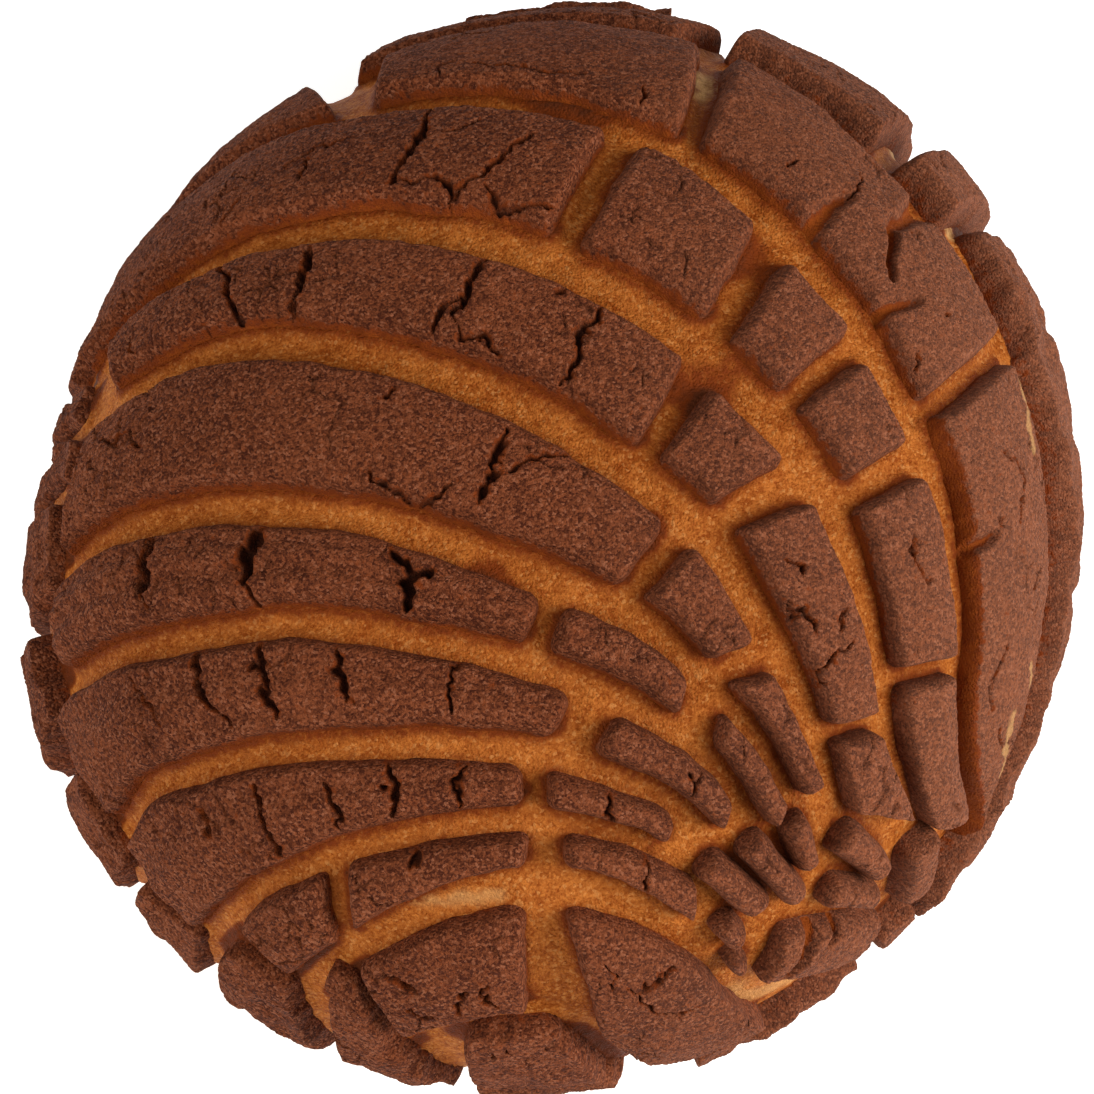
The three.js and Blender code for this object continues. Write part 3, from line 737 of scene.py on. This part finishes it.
# %% Height of a tile over the bread
def tile_height(grid, name, thickness, wear):
    """Height before cracks: the shoulder times the thickness with a low crown, lumps and pressed lines, then
    grain, and crumbs on the slopes, most where the edge is worn."""
    places, _, _, from_inner, from_outer, _ = grid
    body = tile_body(grid, CRUMB_SOFTNESS if name.startswith("hinge") else 1.0)
    across = from_inner / np.maximum(from_inner + from_outer, 0.01)
    crown = (TILE_CROWN + FINGER_CROWN * (1 - fan(places))) * (1 - (2 * across - 1) ** 2)
    lumps = layered(places, LUMPS + FLAP_LUMPS if name.startswith("flap") else LUMPS)
    lumps -= PRESS_DEPTH * (1 - np.cos(2 * np.pi * PRESS_LINES.get(name, 0) * across))
    grain = layered(places, GRAIN) + PIT_DEPTH * ease(cell_border(places, *PIT_CELL), *PIT_EDGE)
    crumble = layered(places, CRUMBLE) * 4 * body * (1 - body)
    height = body * (BREAD_GAP + thickness + crown + lumps) + np.sqrt(body) * grain
    return height + crumble * (LEAST_CRUMBLE + (1 - LEAST_CRUMBLE) * wear) - SINK * (1 - body)


def tile_relief(grid, name, lift, thickness):
    """Height of the tile's top less its cracks and nicks, with each point's share of painted crack shade and
    of wear.
    """
    distance = edge_distance(*grid[1:])
    wear = tile_wear(grid)
    if name in WORN_SLOPES:
        wear = np.maximum(wear, ease(grid[3], WORN_SLOPES[name], 0))
    height = tile_height(grid, name, thickness, wear)
    cracks, crumbled = crack_cut(grid, CRACKS.get(name, []))
    cracks = np.maximum(cracks, hairline_cut(grid[0])) * ease(distance, *CRACK_FADE)
    nicks = nick_cut(grid, NICKS.get(name, [])) * ease(distance, *NICK_FADE)
    floor = np.minimum(height, LEAST_HEIGHT)
    height = np.where(distance > 0, np.maximum(height - cracks - nicks, floor), -SINK)
    if name.startswith(LOOSE_NAMES):
        wear = LOOSE_WEAR * wear
    wear = np.maximum(np.maximum(wear, CRUMBLED_WEAR * crumbled), ease(nicks / NICK_DEPTH, *NICK_WEAR))
    # The middle value is painted shade: the paste is darker the deeper a crack cuts.
    return height + lift, CRACK_SHADE_STRENGTH * np.clip(cracks / DARKEST_DEPTH, 0, 1), wear


sample_height = tile_relief(sample, "rib_3_d", 0.0, PASTE_THICKNESS)[0]
print("sample tile: lowest", sample_height.min().round(2), "highest", sample_height.max().round(2), "mm")

# %% [markdown]
# ## From arrays to meshes
# Blender takes a mesh fastest as flat arrays: all corner points, then all face corners, then where each face
# starts. A tile's top is a grid of quads. Its underside needs no grid: one strip of quads runs from side to
# side, and one many-sided face closes each end.


# %% Meshes from arrays
def mesh_from(name, points, loops, starts, smooth, attributes):
    """Mesh object in metres from points in mm, face corners, face starts and named values per point."""
    mesh = bpy.data.meshes.new(name)
    mesh.vertices.add(len(points))
    mesh.vertices.foreach_set("co", (points * MM).astype(np.float32).ravel())
    mesh.loops.add(len(loops))
    mesh.loops.foreach_set("vertex_index", loops.astype(np.int32))
    mesh.polygons.add(len(starts))
    mesh.polygons.foreach_set("loop_start", starts.astype(np.int32))
    mesh.update(calc_edges=True)
    mesh.polygons.foreach_set("use_smooth", smooth)
    for key, values in attributes.items():
        carried = mesh.attributes.new(key, "FLOAT", "POINT")
        carried.data.foreach_set("value", values.astype(np.float32).ravel())
    piece = bpy.data.objects.new(name, mesh)
    bpy.context.scene.collection.objects.link(piece)
    return piece


def grid_quads(index):
    """Face corners of a grid's quads, with across leading along, so that the faces point outwards."""
    return np.stack([index[:-1, :-1], index[:-1, 1:], index[1:, 1:], index[1:, :-1]], -1).reshape(-1, 4)


def closed_tile(name, points, attributes):
    """Tile from its grid of top points: quads over the top, a strip below, and a face at each end."""
    index = np.arange(points[..., 0].size).reshape(points.shape[:2])
    top = grid_quads(index)
    strip = np.stack([index[1:-2, 0], index[2:-1, 0], index[2:-1, -1], index[1:-2, -1]], -1)
    first = np.concatenate([index[0, ::-1], index[1, [0, -1]]])
    last = np.concatenate([index[-1], index[-2, [-1, 0]]])
    loops = np.concatenate([top.ravel(), strip.ravel(), first, last])
    quads = len(top) + len(strip)
    starts = np.concatenate([np.arange(quads) * 4, [quads * 4, quads * 4 + len(first)]])
    smooth = np.arange(len(starts)) < len(top)
    return mesh_from(name, points.reshape(-1, 3), loops, starts, smooth, attributes)


# %% [markdown]
# ## Finish: cocoa paste
# The paste is a dull, dusty brown, a little redder where it wears thin over the bread, and painted nearly
# black deep in the cracks as painted shade. A painted texture would blur close up, so the colour is built
# from noise at several scales on Object coordinates. A lighter, dusty tint towards the right side is painted
# sheen of the main light. The mesh carries three values per point, the painted shade of the cracks, which
# grows with their depth, the wear of the edge and the pale crumb on it, and the nodes read them.


# %% Small helpers for node materials
def new_material(name):
    """New material, with its node tree and its shader."""
    material = bpy.data.materials.new(name)
    material.use_nodes = True
    tree = material.node_tree
    return material, tree, tree.nodes["Principled BSDF"]


def add_node(tree, kind, values=(), **settings):
    """Node of a kind, with settings, and with a value or a link for each input named or numbered."""
    made = tree.nodes.new(kind)
    for key, value in settings.items():
        setattr(made, key, value)
    for socket, value in dict(values).items():
        if isinstance(value, bpy.types.NodeSocket):
            tree.links.new(value, made.inputs[socket])
        else:
            made.inputs[socket].default_value = value
    return made


def spots(tree, place, size, detail):
    """Noise whose lumps are about size mm wide."""
    values = {"Vector": place, "Scale": 1 / (size * MM), "Detail": detail, "Roughness": 0.6}
    return add_node(tree, "ShaderNodeTexNoise", values).outputs["Fac"]


def grains(tree, place, size):
    """Value from 0 to 1 that each grain of about size mm has for itself, and the distance from its middle."""
    made = add_node(tree, "ShaderNodeTexVoronoi", {"Vector": place, "Scale": 1 / (size * MM)})
    value = add_node(tree, "ShaderNodeSeparateColor", {"Color": made.outputs["Color"]}).outputs["Red"]
    return value, made.outputs["Distance"]


def between(tree, value, start, end, low=0.0, high=1.0):
    """Value carried from a span to a new span, and kept inside it."""
    values = {"Value": value, "From Min": start, "From Max": end, "To Min": low, "To Max": high}
    return add_node(tree, "ShaderNodeMapRange", values).outputs["Result"]


def mixed(tree, share, first, second):
    """Blend of two colours by a share. The first may be a link, the second is a plain colour."""
    if isinstance(first, tuple):
        first = (*first, 1.0)
    values = {0: share, 6: first, 7: (*second, 1.0)}
    return add_node(tree, "ShaderNodeMix", values, data_type="RGBA", clamp_factor=True).outputs[2]


def attribute(tree, name):
    """Value that the mesh carries at each point."""
    return add_node(tree, "ShaderNodeAttribute", attribute_name=name).outputs["Fac"]


def added(tree, first, second, weight):
    """First value plus a weight times the second."""
    values = {0: second, 1: weight, 2: first}
    return add_node(tree, "ShaderNodeMath", values, operation="MULTIPLY_ADD").outputs[0]


# %% What the finishes of paste and crust share
BUMP_DEPTH = 0.25 * MM


def mottled(tree, layers, speckle_size, speckle_weight):
    """Tone of a crumbly finish: the first noise plus each later one and the grains' values by weight. Returns
    it with the noises by name, the grains' values and the distance from their middles."""
    place = add_node(tree, "ShaderNodeTexCoord").outputs["Object"]
    noises = {name: spots(tree, place, size, detail) for name, (size, detail, _) in layers.items()}
    speckle, from_middle = grains(tree, place, speckle_size)
    tone = noises["grain"]
    for name in ("fine", "blotch", "broad"):
        tone = added(tree, tone, noises[name], layers[name][2])
    return added(tree, tone, speckle, speckle_weight), noises, speckle, from_middle


def uneven(tree, name, noises, weights):
    """Value that the mesh carries, shaken by the fine noise and by the blotches."""
    value = added(tree, attribute(tree, name), noises["fine"], weights[0])
    return added(tree, value, noises["blotch"], weights[1])


def finish_shader(tree, shader, colour, relief, roughness, gloss):
    """Colour and bump linked to the shader, and its roughness and gloss set."""
    tree.links.new(colour, shader.inputs["Base Color"])
    shader.inputs["Roughness"].default_value = roughness
    shader.inputs["Specular IOR Level"].default_value = gloss
    bump = add_node(tree, "ShaderNodeBump", {"Height": relief, "Strength": 1.0, "Distance": BUMP_DEPTH})
    tree.links.new(bump.outputs["Normal"], shader.inputs["Normal"])


# %% Colours of the bun, as linear light
COCOA_LIGHT = (0.205, 0.053, 0.017)
COCOA_DARK = (0.050, 0.009, 0.002)
# Dusty grains, and the painted sheen of the main light on the right side.
COCOA_DUST_AND_SHEEN = (0.320, 0.135, 0.075)
# Painted shade: the nearly black colour deep in the cracks.
CRACK_SHADE_COLOUR = (0.014, 0.003, 0.001)
# Cocoa stain on the crust, and painted shade in its creases at the flaps.
COCOA_STAIN_AND_SHADE = (0.085, 0.019, 0.005)
RUST = (0.160, 0.028, 0.003)
CRUST_GOLD = (0.495, 0.152, 0.025)
CRUST_DEEP = (0.215, 0.042, 0.003)
CRUMB_PALE = (0.640, 0.360, 0.130)

# %% Cocoa paste: noises as size in mm, detail and weight, then spans of the values that mix the colours
PASTE_NOISES = {
    "grain": (0.22, 2, 1),
    "fine": (0.6, 3, 0.25),
    "blotch": (2.4, 4, 0.35),
    "broad": (14, 3, 0.4),
}
PASTE_SPECKLE = (0.26, 0.6)
PASTE_TONE = (1.0, 1.6)
DUSTY_GRAINS = (0.8, 1.0, 0, 0.3)
# Painted sheen: the paste turns lighter and dustier towards the right, where the main light falls.
RIGHT_SIDE_SHEEN = (0, 45 * MM, 0, 0.2)
WEAR_SHAKE = (1.4, 0.5)
WORN_TO_RUST = (1.15, 1.4)
WORN_TO_CRUST = (1.5, 1.9)
PASTE_RELIEF = (0.3, -0.5)
PASTE_ROUGHNESS = 0.85
PASTE_GLOSS = 0.12


def cocoa_paste():
    """Baked cocoa paste: mottled brown with dusty grains, painted sheen as a lighter dusty tint towards the
    lit right side, rust and then crust where it wears thin, pale with crumb, and painted shade in the cracks."""
    material, tree, shader = new_material("cocoa_paste")
    tone, noises, speckle, from_middle = mottled(tree, PASTE_NOISES, *PASTE_SPECKLE)
    colour = mixed(tree, between(tree, tone, *PASTE_TONE), COCOA_DARK, COCOA_LIGHT)
    colour = mixed(tree, between(tree, speckle, *DUSTY_GRAINS), colour, COCOA_DUST_AND_SHEEN)
    place = add_node(tree, "ShaderNodeTexCoord").outputs["Object"]
    side = add_node(tree, "ShaderNodeSeparateXYZ", {"Vector": place}).outputs["X"]
    # Painted sheen of the main light: lighter and dustier towards the right side.
    colour = mixed(tree, between(tree, side, *RIGHT_SIDE_SHEEN), colour, COCOA_DUST_AND_SHEEN)
    wear = uneven(tree, "wear", noises, WEAR_SHAKE)
    colour = mixed(tree, between(tree, wear, *WORN_TO_RUST), colour, RUST)
    colour = mixed(tree, between(tree, wear, *WORN_TO_CRUST), colour, CRUST_DEEP)
    colour = mixed(tree, attribute(tree, "pale"), colour, CRUMB_PALE)
    # Painted shade: nearly black deep in the cracks, darker the deeper they are.
    colour = mixed(tree, attribute(tree, "crack_shade"), colour, CRACK_SHADE_COLOUR)
    relief = added(tree, noises["grain"], noises["fine"], PASTE_RELIEF[0])
    relief = added(tree, relief, from_middle, PASTE_RELIEF[1])
    finish_shader(tree, shader, colour, relief, PASTE_ROUGHNESS, PASTE_GLOSS)
    return material


paste_finish = cocoa_paste()
print("finish:", paste_finish.name)

# %% [markdown]
# ## Making the tiles
# Each tile is laid on the dome, made into a closed mesh and hung on the root body, and the solid that it
# stands for is hidden. Its outline on the disc is kept, because the bread below needs to know where the
# grooves are.

# %% Seams where crumb of the bread clings to the paste: a line on the disc, its reach in mm, how pale it is
CRUMB_SEAMS = [
    ([[46.7, 12], [47.8, 9.3], [48.6, 5]], 0.8, 0.4),
    ([[54, -18], [55.8, -20.3]], 0.6, 0.4),
    ([[51.7, -24], [51.9, -27], [54.7, -31]], 0.9, 0.4),
]
SEAM_SHAKE = [(0.5, 1.2, 47)]
SEAM_CORE = 0.4


def line_share(places, lined, shake, core):
    """Share along each line: all of it within the core's share of the reach, none beyond the reach, with
    edges shaken by noise."""
    share = np.zeros(places.shape[:-1])
    for points, reach, most in lined:
        away = line_distance(places[..., 0], places[..., 1], np.array(points))[0] + layered(places, shake)
        share = np.maximum(share, most * ease(away, reach, core * reach))
    return share


# %% Make every tile
FLAP_LOOSENESS = 3.0
tile_outlines = []
flap_outlines = []
tile_faces = 0
for name, (patch, halves, corner, lift, thickness) in tiles.items():
    grid = tile_grid(patch, halves, corner)
    grid = (wander(grid[0], FLAP_LOOSENESS if name.startswith("flap") else 1.0), *grid[1:])
    height, crack_shade, wear = tile_relief(grid, name, lift, thickness)
    # Painted shade of the cracks rides on the mesh with the wear and the crumb.
    values = {"crack_shade": crack_shade, "wear": wear, "pale": line_share(grid[0], CRUMB_SEAMS, SEAM_SHAKE, SEAM_CORE)}
    piece = closed_tile(f"{name}_paste", lay_on_dome(grid[0], height), values)
    piece.data.materials.append(paste_finish)
    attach(piece, "root")
    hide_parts(name)
    worn_edge = np.concatenate([grid[0][:, 0], grid[0][-1]])
    crisp_edge = np.concatenate([grid[0][:, -1], grid[0][0]])
    outlines = flap_outlines if name.startswith("flap") else tile_outlines
    outlines.append((worn_edge, crisp_edge))
    tile_faces += len(piece.data.polygons)
print("faces of paste:", tile_faces)

# %% [markdown]
# ## The bread
# The bun shows as the floor of the grooves and as the flank below the shell. One grid covers it from the
# crown to the foot. In a grid of bearings and falls too many points meet at the crown, so a square grid is
# pressed into a disc instead, ring by ring, and laid on the dome. The dough climbs a little at the tiles'
# edges, which makes each groove a hollow channel.

# %% A square grid pressed into a disc
BREAD_GRID = 307
CROWDING = 0.72
NEAREST_BLOCKS = 60
EVERY_OTHER = slice(None, None, 2)


def pressed_disc(count, reach):
    """Disc places of a square grid: each square ring becomes a circle, its sides as arcs. Ring t lies at the
    reach times c t + (1 - c) t^3, which crowds the rings towards the crown."""
    x, y = np.meshgrid(np.linspace(-1, 1, count), np.linspace(-1, 1, count), indexing="ij")
    steep = np.abs(y) > np.abs(x)
    ring = np.where(steep, y, x)
    slant = np.pi / 4 * np.where(steep, x, y) / np.where(ring == 0, 1, ring)
    turn = np.where(steep, np.pi / 2 - slant, slant)
    ring = CROWDING * ring + (1 - CROWDING) * ring**3
    return reach * ring[..., None] * np.stack([np.cos(turn), np.sin(turn)], -1)


def nearest(places, targets):
    """Distance from each place to the nearest target, a block of places at a time."""
    flat = places.reshape(-1, 2).astype(np.float32)
    goal = targets.astype(np.float32)
    blocks = [
        np.min((block[:, None, 0] - goal[:, 0]) ** 2 + (block[:, None, 1] - goal[:, 1]) ** 2, axis=1)
        for block in np.array_split(flat, NEAREST_BLOCKS)
    ]
    return np.sqrt(np.concatenate(blocks)).reshape(places.shape[:-1])


bread_places = pressed_disc(BREAD_GRID, FOOT_REACH)
from_worn = nearest(bread_places, np.vstack([worn[EVERY_OTHER] for worn, _ in tile_outlines]))
from_crisp = nearest(bread_places, np.vstack([crisp[EVERY_OTHER] for _, crisp in tile_outlines]))
from_flap = nearest(bread_places, np.vstack([edge[EVERY_OTHER] for edges in flap_outlines for edge in edges]))
print("bread grid:", bread_places.shape[:2], "step", round(2 * FOOT_REACH * CROWDING / BREAD_GRID, 2), "mm")

# %% Where the crust tore and shows pale crumb: a line on the disc, its reach in mm and how pale it is
PALE_TEARS = [
    ([[37, 44], [37.5, 44]], 3.5, 0.9),
    ([[41, 30], [41.5, 30]], 2.5, 0.9),
    ([[13.5, 37.5], [14, 37.5]], 4.0, 0.9),
    ([[50, 14.5], [53, 11], [57.5, 8], [62, 3]], 1.8, 1.0),
    ([[66, -20], [64, -29]], 2.5, 1.0),
    ([[59, -35], [55, -40]], 2.0, 0.9),
    ([[-12, -39.2], [-8, -39.4], [-4.5, -38.8]], 1.3, 0.35),
    ([[21, -57], [25, -61], [33, -60]], 2.2, 0.4),
]
TEAR_SHAKE = [(0.7, 1.5, 45)]
TEAR_CORE = 0.3
FLANK_SPAN = (74.0, 82.0)
FLANK_SHAKE = [(2.5, 6.0, 44)]
FOOT_PALE = 0.3

# %% Cuts whose floor is darker: a place on the disc and its reach in mm
DARK_CUTS = [([1, 31], 5.0), ([16, 17], 3.5), ([13, 4.5], 4.0), ([8, -8.5], 3.0), ([-5, -12.5], 3.0)]
CUT_SHAKE = [(0.5, 1.5, 46)]
CUT_CORE = 0.4

# %% Cocoa stain beside the tiles, and painted shade in the creases at the flaps: strengths, and reaches in mm
WORN_STAIN = (1.0, 0.7)
CRISP_STAIN = (0.6, 0.5)
# How much darker the floors round the dark cuts are.
CUT_DARKENING = 0.7
# Painted shade in the narrow creases between tiles and flaps.
CREASE_SHADE = 1.2
CREASE_SPAN = (8.0, 5.0)
CREASE_REACH = (3.5, 1.5)
GROOVE_SAMPLES = 200
GROOVE_CLEAR = (0.8, 1.8)


# %% Stain, painted shade and paleness of the crust
def cut_darkening(places):
    """Share of darkening round the dark cuts, with edges shaken by noise."""
    stain_and_shade = np.zeros(places.shape[:-1])
    for spot, size in DARK_CUTS:
        away = np.hypot(*np.moveaxis(places - spot, -1, 0)) + layered(places, CUT_SHAKE)
        stain_and_shade = np.maximum(stain_and_shade, ease(away, size, CUT_CORE * size))
    return stain_and_shade


def off_groove(places):
    """Share that is 0 in the middle of a groove and 1 clear of it."""
    middles = np.vstack([line(np.linspace(0, 1, GROOVE_SAMPLES)) for line in lines[:RIM]])
    return ease(nearest(places, middles), *GROOVE_CLEAR)


def pale_share(places):
    """Share of pale crumb: high on the flank, and along each tear, with edges shaken by noise."""
    reach = np.hypot(places[..., 0], places[..., 1])
    flank = ease(reach + layered(places, FLANK_SHAKE), *FLANK_SPAN)
    return np.maximum(flank, line_share(places, PALE_TEARS, TEAR_SHAKE, TEAR_CORE))


def crust_stain_and_shade(places, from_tile, pale):
    """Share of cocoa stain and painted shade: the stain dies away from the tiles' edges, the floors of the
    dark cuts are darker, and painted shade fills the creases between tiles and flaps."""
    stain_and_shade = WORN_STAIN[0] * np.exp(-from_worn / WORN_STAIN[1])
    stain_and_shade += CRISP_STAIN[0] * np.exp(-from_crisp / CRISP_STAIN[1])
    # The floors round the dark cuts are darker.
    stain_and_shade += CUT_DARKENING * cut_darkening(places)
    crease = ease(from_tile + from_flap, *CREASE_SPAN) * ease(from_flap, *CREASE_REACH)
    # Painted shade: the crust darkens in the narrow creases between tiles and flaps.
    return stain_and_shade + CREASE_SHADE * crease * off_groove(places) * (1 - pale)


# %% Heights of the crust in millimetres, and the rings of the foot as shares of its size
CRUST_LIFT = 0.1
CLIMB = 0.5
CLIMB_REACH = 0.6
CRUST_LUMPS = [(0.1, 2.2, 41), (0.07, 1.0, 42), (0.2, 9.0, 43)]
FOOT_BLEND = (FOOT_REACH - 0.5, FOOT_REACH - 6)
LEAST_LEVEL = 0.05
FOOT_RINGS = (0.985, 0.95, 0.7, 0.35)


# %% Mesh of the bread
def bread_points(places, from_tile):
    """Points of the crust: lifted a little, raised at the edges of tiles and flaps, and lumpy, down to a foot
    that lies flat on the floor."""
    reach = np.hypot(places[..., 0], places[..., 1])
    from_edge = np.minimum(from_tile, from_flap)
    climb = CLIMB * fan(places) * np.exp(-(from_edge / CLIMB_REACH) ** 2)
    height = CRUST_LIFT + climb + layered(places, CRUST_LUMPS)
    points = lay_on_dome(places, height * ease(reach, *FOOT_BLEND))
    points[..., 2] = np.where(reach > FOOT_REACH - 0.01, 0.0, np.maximum(points[..., 2], LEAST_LEVEL))
    return points


def bread_piece():
    """Closed bun: the crust's grid, then flat foot rings that shrink towards the middle and one face that
    closes the foot."""
    from_tile = np.minimum(from_worn, from_crisp)
    points = bread_points(bread_places, from_tile)
    pale = pale_share(bread_places)
    stain_and_shade = crust_stain_and_shade(bread_places, from_tile, pale)
    index = np.arange(pale.size).reshape(pale.shape)
    quads = grid_quads(index)
    rim = np.concatenate([index[:-1, 0], index[-1, :-1], index[:0:-1, -1], index[0, :0:-1]])
    centre = np.array([*BREAD_MIDDLE, 0.0])
    edge = points.reshape(-1, 3)[rim]
    rings = np.concatenate([centre + (edge - centre) * share for share in FOOT_RINGS])
    ring_index = pale.size + np.arange(len(rings)).reshape(len(FOOT_RINGS), -1)
    around = np.vstack([rim, ring_index])
    around = np.hstack([around, around[:, :1]])
    foot = np.stack([around[:-1, :-1], around[1:, :-1], around[1:, 1:], around[:-1, 1:]], -1).reshape(-1, 4)
    faces = np.vstack([quads, foot])
    loops = np.concatenate([faces.ravel(), ring_index[-1][::-1]])
    starts = np.arange(len(faces) + 1) * 4
    smooth = np.arange(len(starts)) < len(quads)
    values = {"stain_and_shade": np.concatenate([stain_and_shade.ravel(), np.zeros(len(rings))]),
              "pale": np.concatenate([pale.ravel(), np.full(len(rings), FOOT_PALE)])}
    return mesh_from("bread_crust", np.vstack([points.reshape(-1, 3), rings]), loops, starts, smooth, values)


bread = bread_piece()
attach(bread, "root")
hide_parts("bread_bun")
print("faces of bread:", len(bread.data.polygons))

# %% [markdown]
# ## Finish: bread crust
# In the grooves the crust is golden, with a fine pale grain. Cocoa stains it beside the tiles, its floor is
# darker in a few cuts, painted shade darkens it in the creases at the flaps, and it is paler on the flank,
# where the oven browns it less. It is built like the paste, with its own colours and values, so that both
# finishes belong together.

# %% Golden crust, with its values in the same order as the paste's
CRUST_NOISES = {
    "grain": (0.25, 2, 1),
    "fine": (0.8, 4, 0.9),
    "blotch": (2.5, 4, 0.9),
    "broad": (12, 2, 0.5),
}
CRUST_SPECKLE = (0.32, 0.4)
CRUST_TONE = (1.5, 2.25)
PALE_GRAINS = (0.8, 1.0, 0, 0.2)
STAIN_AND_SHADE_SHAKE = (1.2, 0.5)
STAIN_AND_SHADE_TO_RUST = (1.1, 1.65)
STAIN_AND_SHADE_TO_COCOA = (1.7, 2.3)
CRUST_RELIEF = (0.4, -0.4)
CRUST_ROUGHNESS = 0.6
CRUST_GLOSS = 0.06


def golden_crust():
    """Crust: deep to golden brown with pale grains, pale crumb on the flank and in tears, and rust to cocoa
    brown where it is stained, darker in a few cuts and in the painted shade of the creases at the flaps."""
    material, tree, shader = new_material("golden_crust")
    tone, noises, speckle, from_middle = mottled(tree, CRUST_NOISES, *CRUST_SPECKLE)
    colour = mixed(tree, between(tree, tone, *CRUST_TONE), CRUST_DEEP, CRUST_GOLD)
    colour = mixed(tree, between(tree, speckle, *PALE_GRAINS), colour, CRUMB_PALE)
    colour = mixed(tree, attribute(tree, "pale"), colour, CRUMB_PALE)
    stain_and_shade = uneven(tree, "stain_and_shade", noises, STAIN_AND_SHADE_SHAKE)
    # The value holds cocoa stain beside the tiles and the painted shade of the creases at the flaps.
    colour = mixed(tree, between(tree, stain_and_shade, *STAIN_AND_SHADE_TO_RUST), colour, RUST)
    colour = mixed(tree, between(tree, stain_and_shade, *STAIN_AND_SHADE_TO_COCOA), colour, COCOA_STAIN_AND_SHADE)
    relief = added(tree, noises["grain"], noises["fine"], CRUST_RELIEF[0])
    relief = added(tree, relief, from_middle, CRUST_RELIEF[1])
    finish_shader(tree, shader, colour, relief, CRUST_ROUGHNESS, CRUST_GLOSS)
    return material


bread.data.materials.append(golden_crust())
print("finish:", bread.data.materials[0].name)

# %% [markdown]
# ## Floor, light and camera
# A pale floor and large soft lights show the bun as in a plain studio. The main light stands at the right
# and a little to the front, so that tiles and cracks cast their soft shade to the left. A glow of its own
# keeps the floor white.

# %% Floor
FLOOR_SIZE = 3.0
FLOOR_COLOUR = (0.93, 0.93, 0.92)
FLOOR_ROUGHNESS = 0.9
FLOOR_GLOW = 0.5


def pale_floor():
    """Square floor at the height of the foot."""
    half = FLOOR_SIZE / 2
    corners = [(-half, -half, 0), (half, -half, 0), (half, half, 0), (-half, half, 0)]
    mesh = bpy.data.meshes.new("floor")
    mesh.from_pydata(corners, [], [(0, 1, 2, 3)])
    floor = bpy.data.objects.new("floor", mesh)
    material, _, shader = new_material("floor")
    shader.inputs["Base Color"].default_value = (*FLOOR_COLOUR, 1.0)
    shader.inputs["Roughness"].default_value = FLOOR_ROUGHNESS
    shader.inputs["Emission Color"].default_value = (1, 1, 1, 1)
    shader.inputs["Emission Strength"].default_value = FLOOR_GLOW
    mesh.materials.append(material)
    bpy.context.scene.collection.objects.link(floor)
    return floor


floor = pale_floor()
print("floor:", FLOOR_SIZE, "m")

# %% Lights: place, size and power, the point that they aim at, and the strength of the white world
LIGHT_AIM = Vector((0, 0, 0.02))
LIGHTS = {
    "key": ((0.58, -0.17, 0.40), 0.40, 6.3),
    "fill": ((-0.45, -0.32, 0.45), 0.60, 3.3),
}
WORLD_STRENGTH = 0.37


def soft_light(name, place, size, power):
    """Square area light that faces the middle of the bun."""
    data = bpy.data.lights.new(name, "AREA")
    data.size, data.energy = size, power
    light = bpy.data.objects.new(name, data)
    light.location = place
    light.rotation_euler = (LIGHT_AIM - light.location).to_track_quat("-Z", "Y").to_euler()
    bpy.context.scene.collection.objects.link(light)
    return light


for name, (place, size, power) in LIGHTS.items():
    soft_light(name, place, size, power)
world = bpy.data.worlds.new("studio")
world.use_nodes = True
background = world.node_tree.nodes["Background"]
background.inputs["Color"].default_value = (1, 1, 1, 1)
background.inputs["Strength"].default_value = WORLD_STRENGTH
bpy.context.scene.world = world
bpy.context.scene.view_settings.view_transform = "Standard"
print("lights:", list(LIGHTS))

# %% Camera
CAMERA_ELEVATION = np.radians(72)
CAMERA_DISTANCE = 0.65
CAMERA_LENS = 210.5
AIM_FROM_CROWN = np.array([-0.2, -1.3])
AIM_HEIGHT = 19.4
camera = bpy.data.objects.new("camera", bpy.data.cameras.new("camera"))
backwards = Vector((0, -np.cos(CAMERA_ELEVATION), np.sin(CAMERA_ELEVATION)))
aim = Vector((*(BREAD_MIDDLE + AIM_FROM_CROWN), AIM_HEIGHT)) * MM
camera.location = aim + backwards * CAMERA_DISTANCE
camera.rotation_euler = backwards.to_track_quat("Z", "Y").to_euler()
camera.data.lens = CAMERA_LENS
bpy.context.scene.collection.objects.link(camera)
bpy.context.scene.camera = camera
print("camera at", [round(value, 3) for value in camera.location])
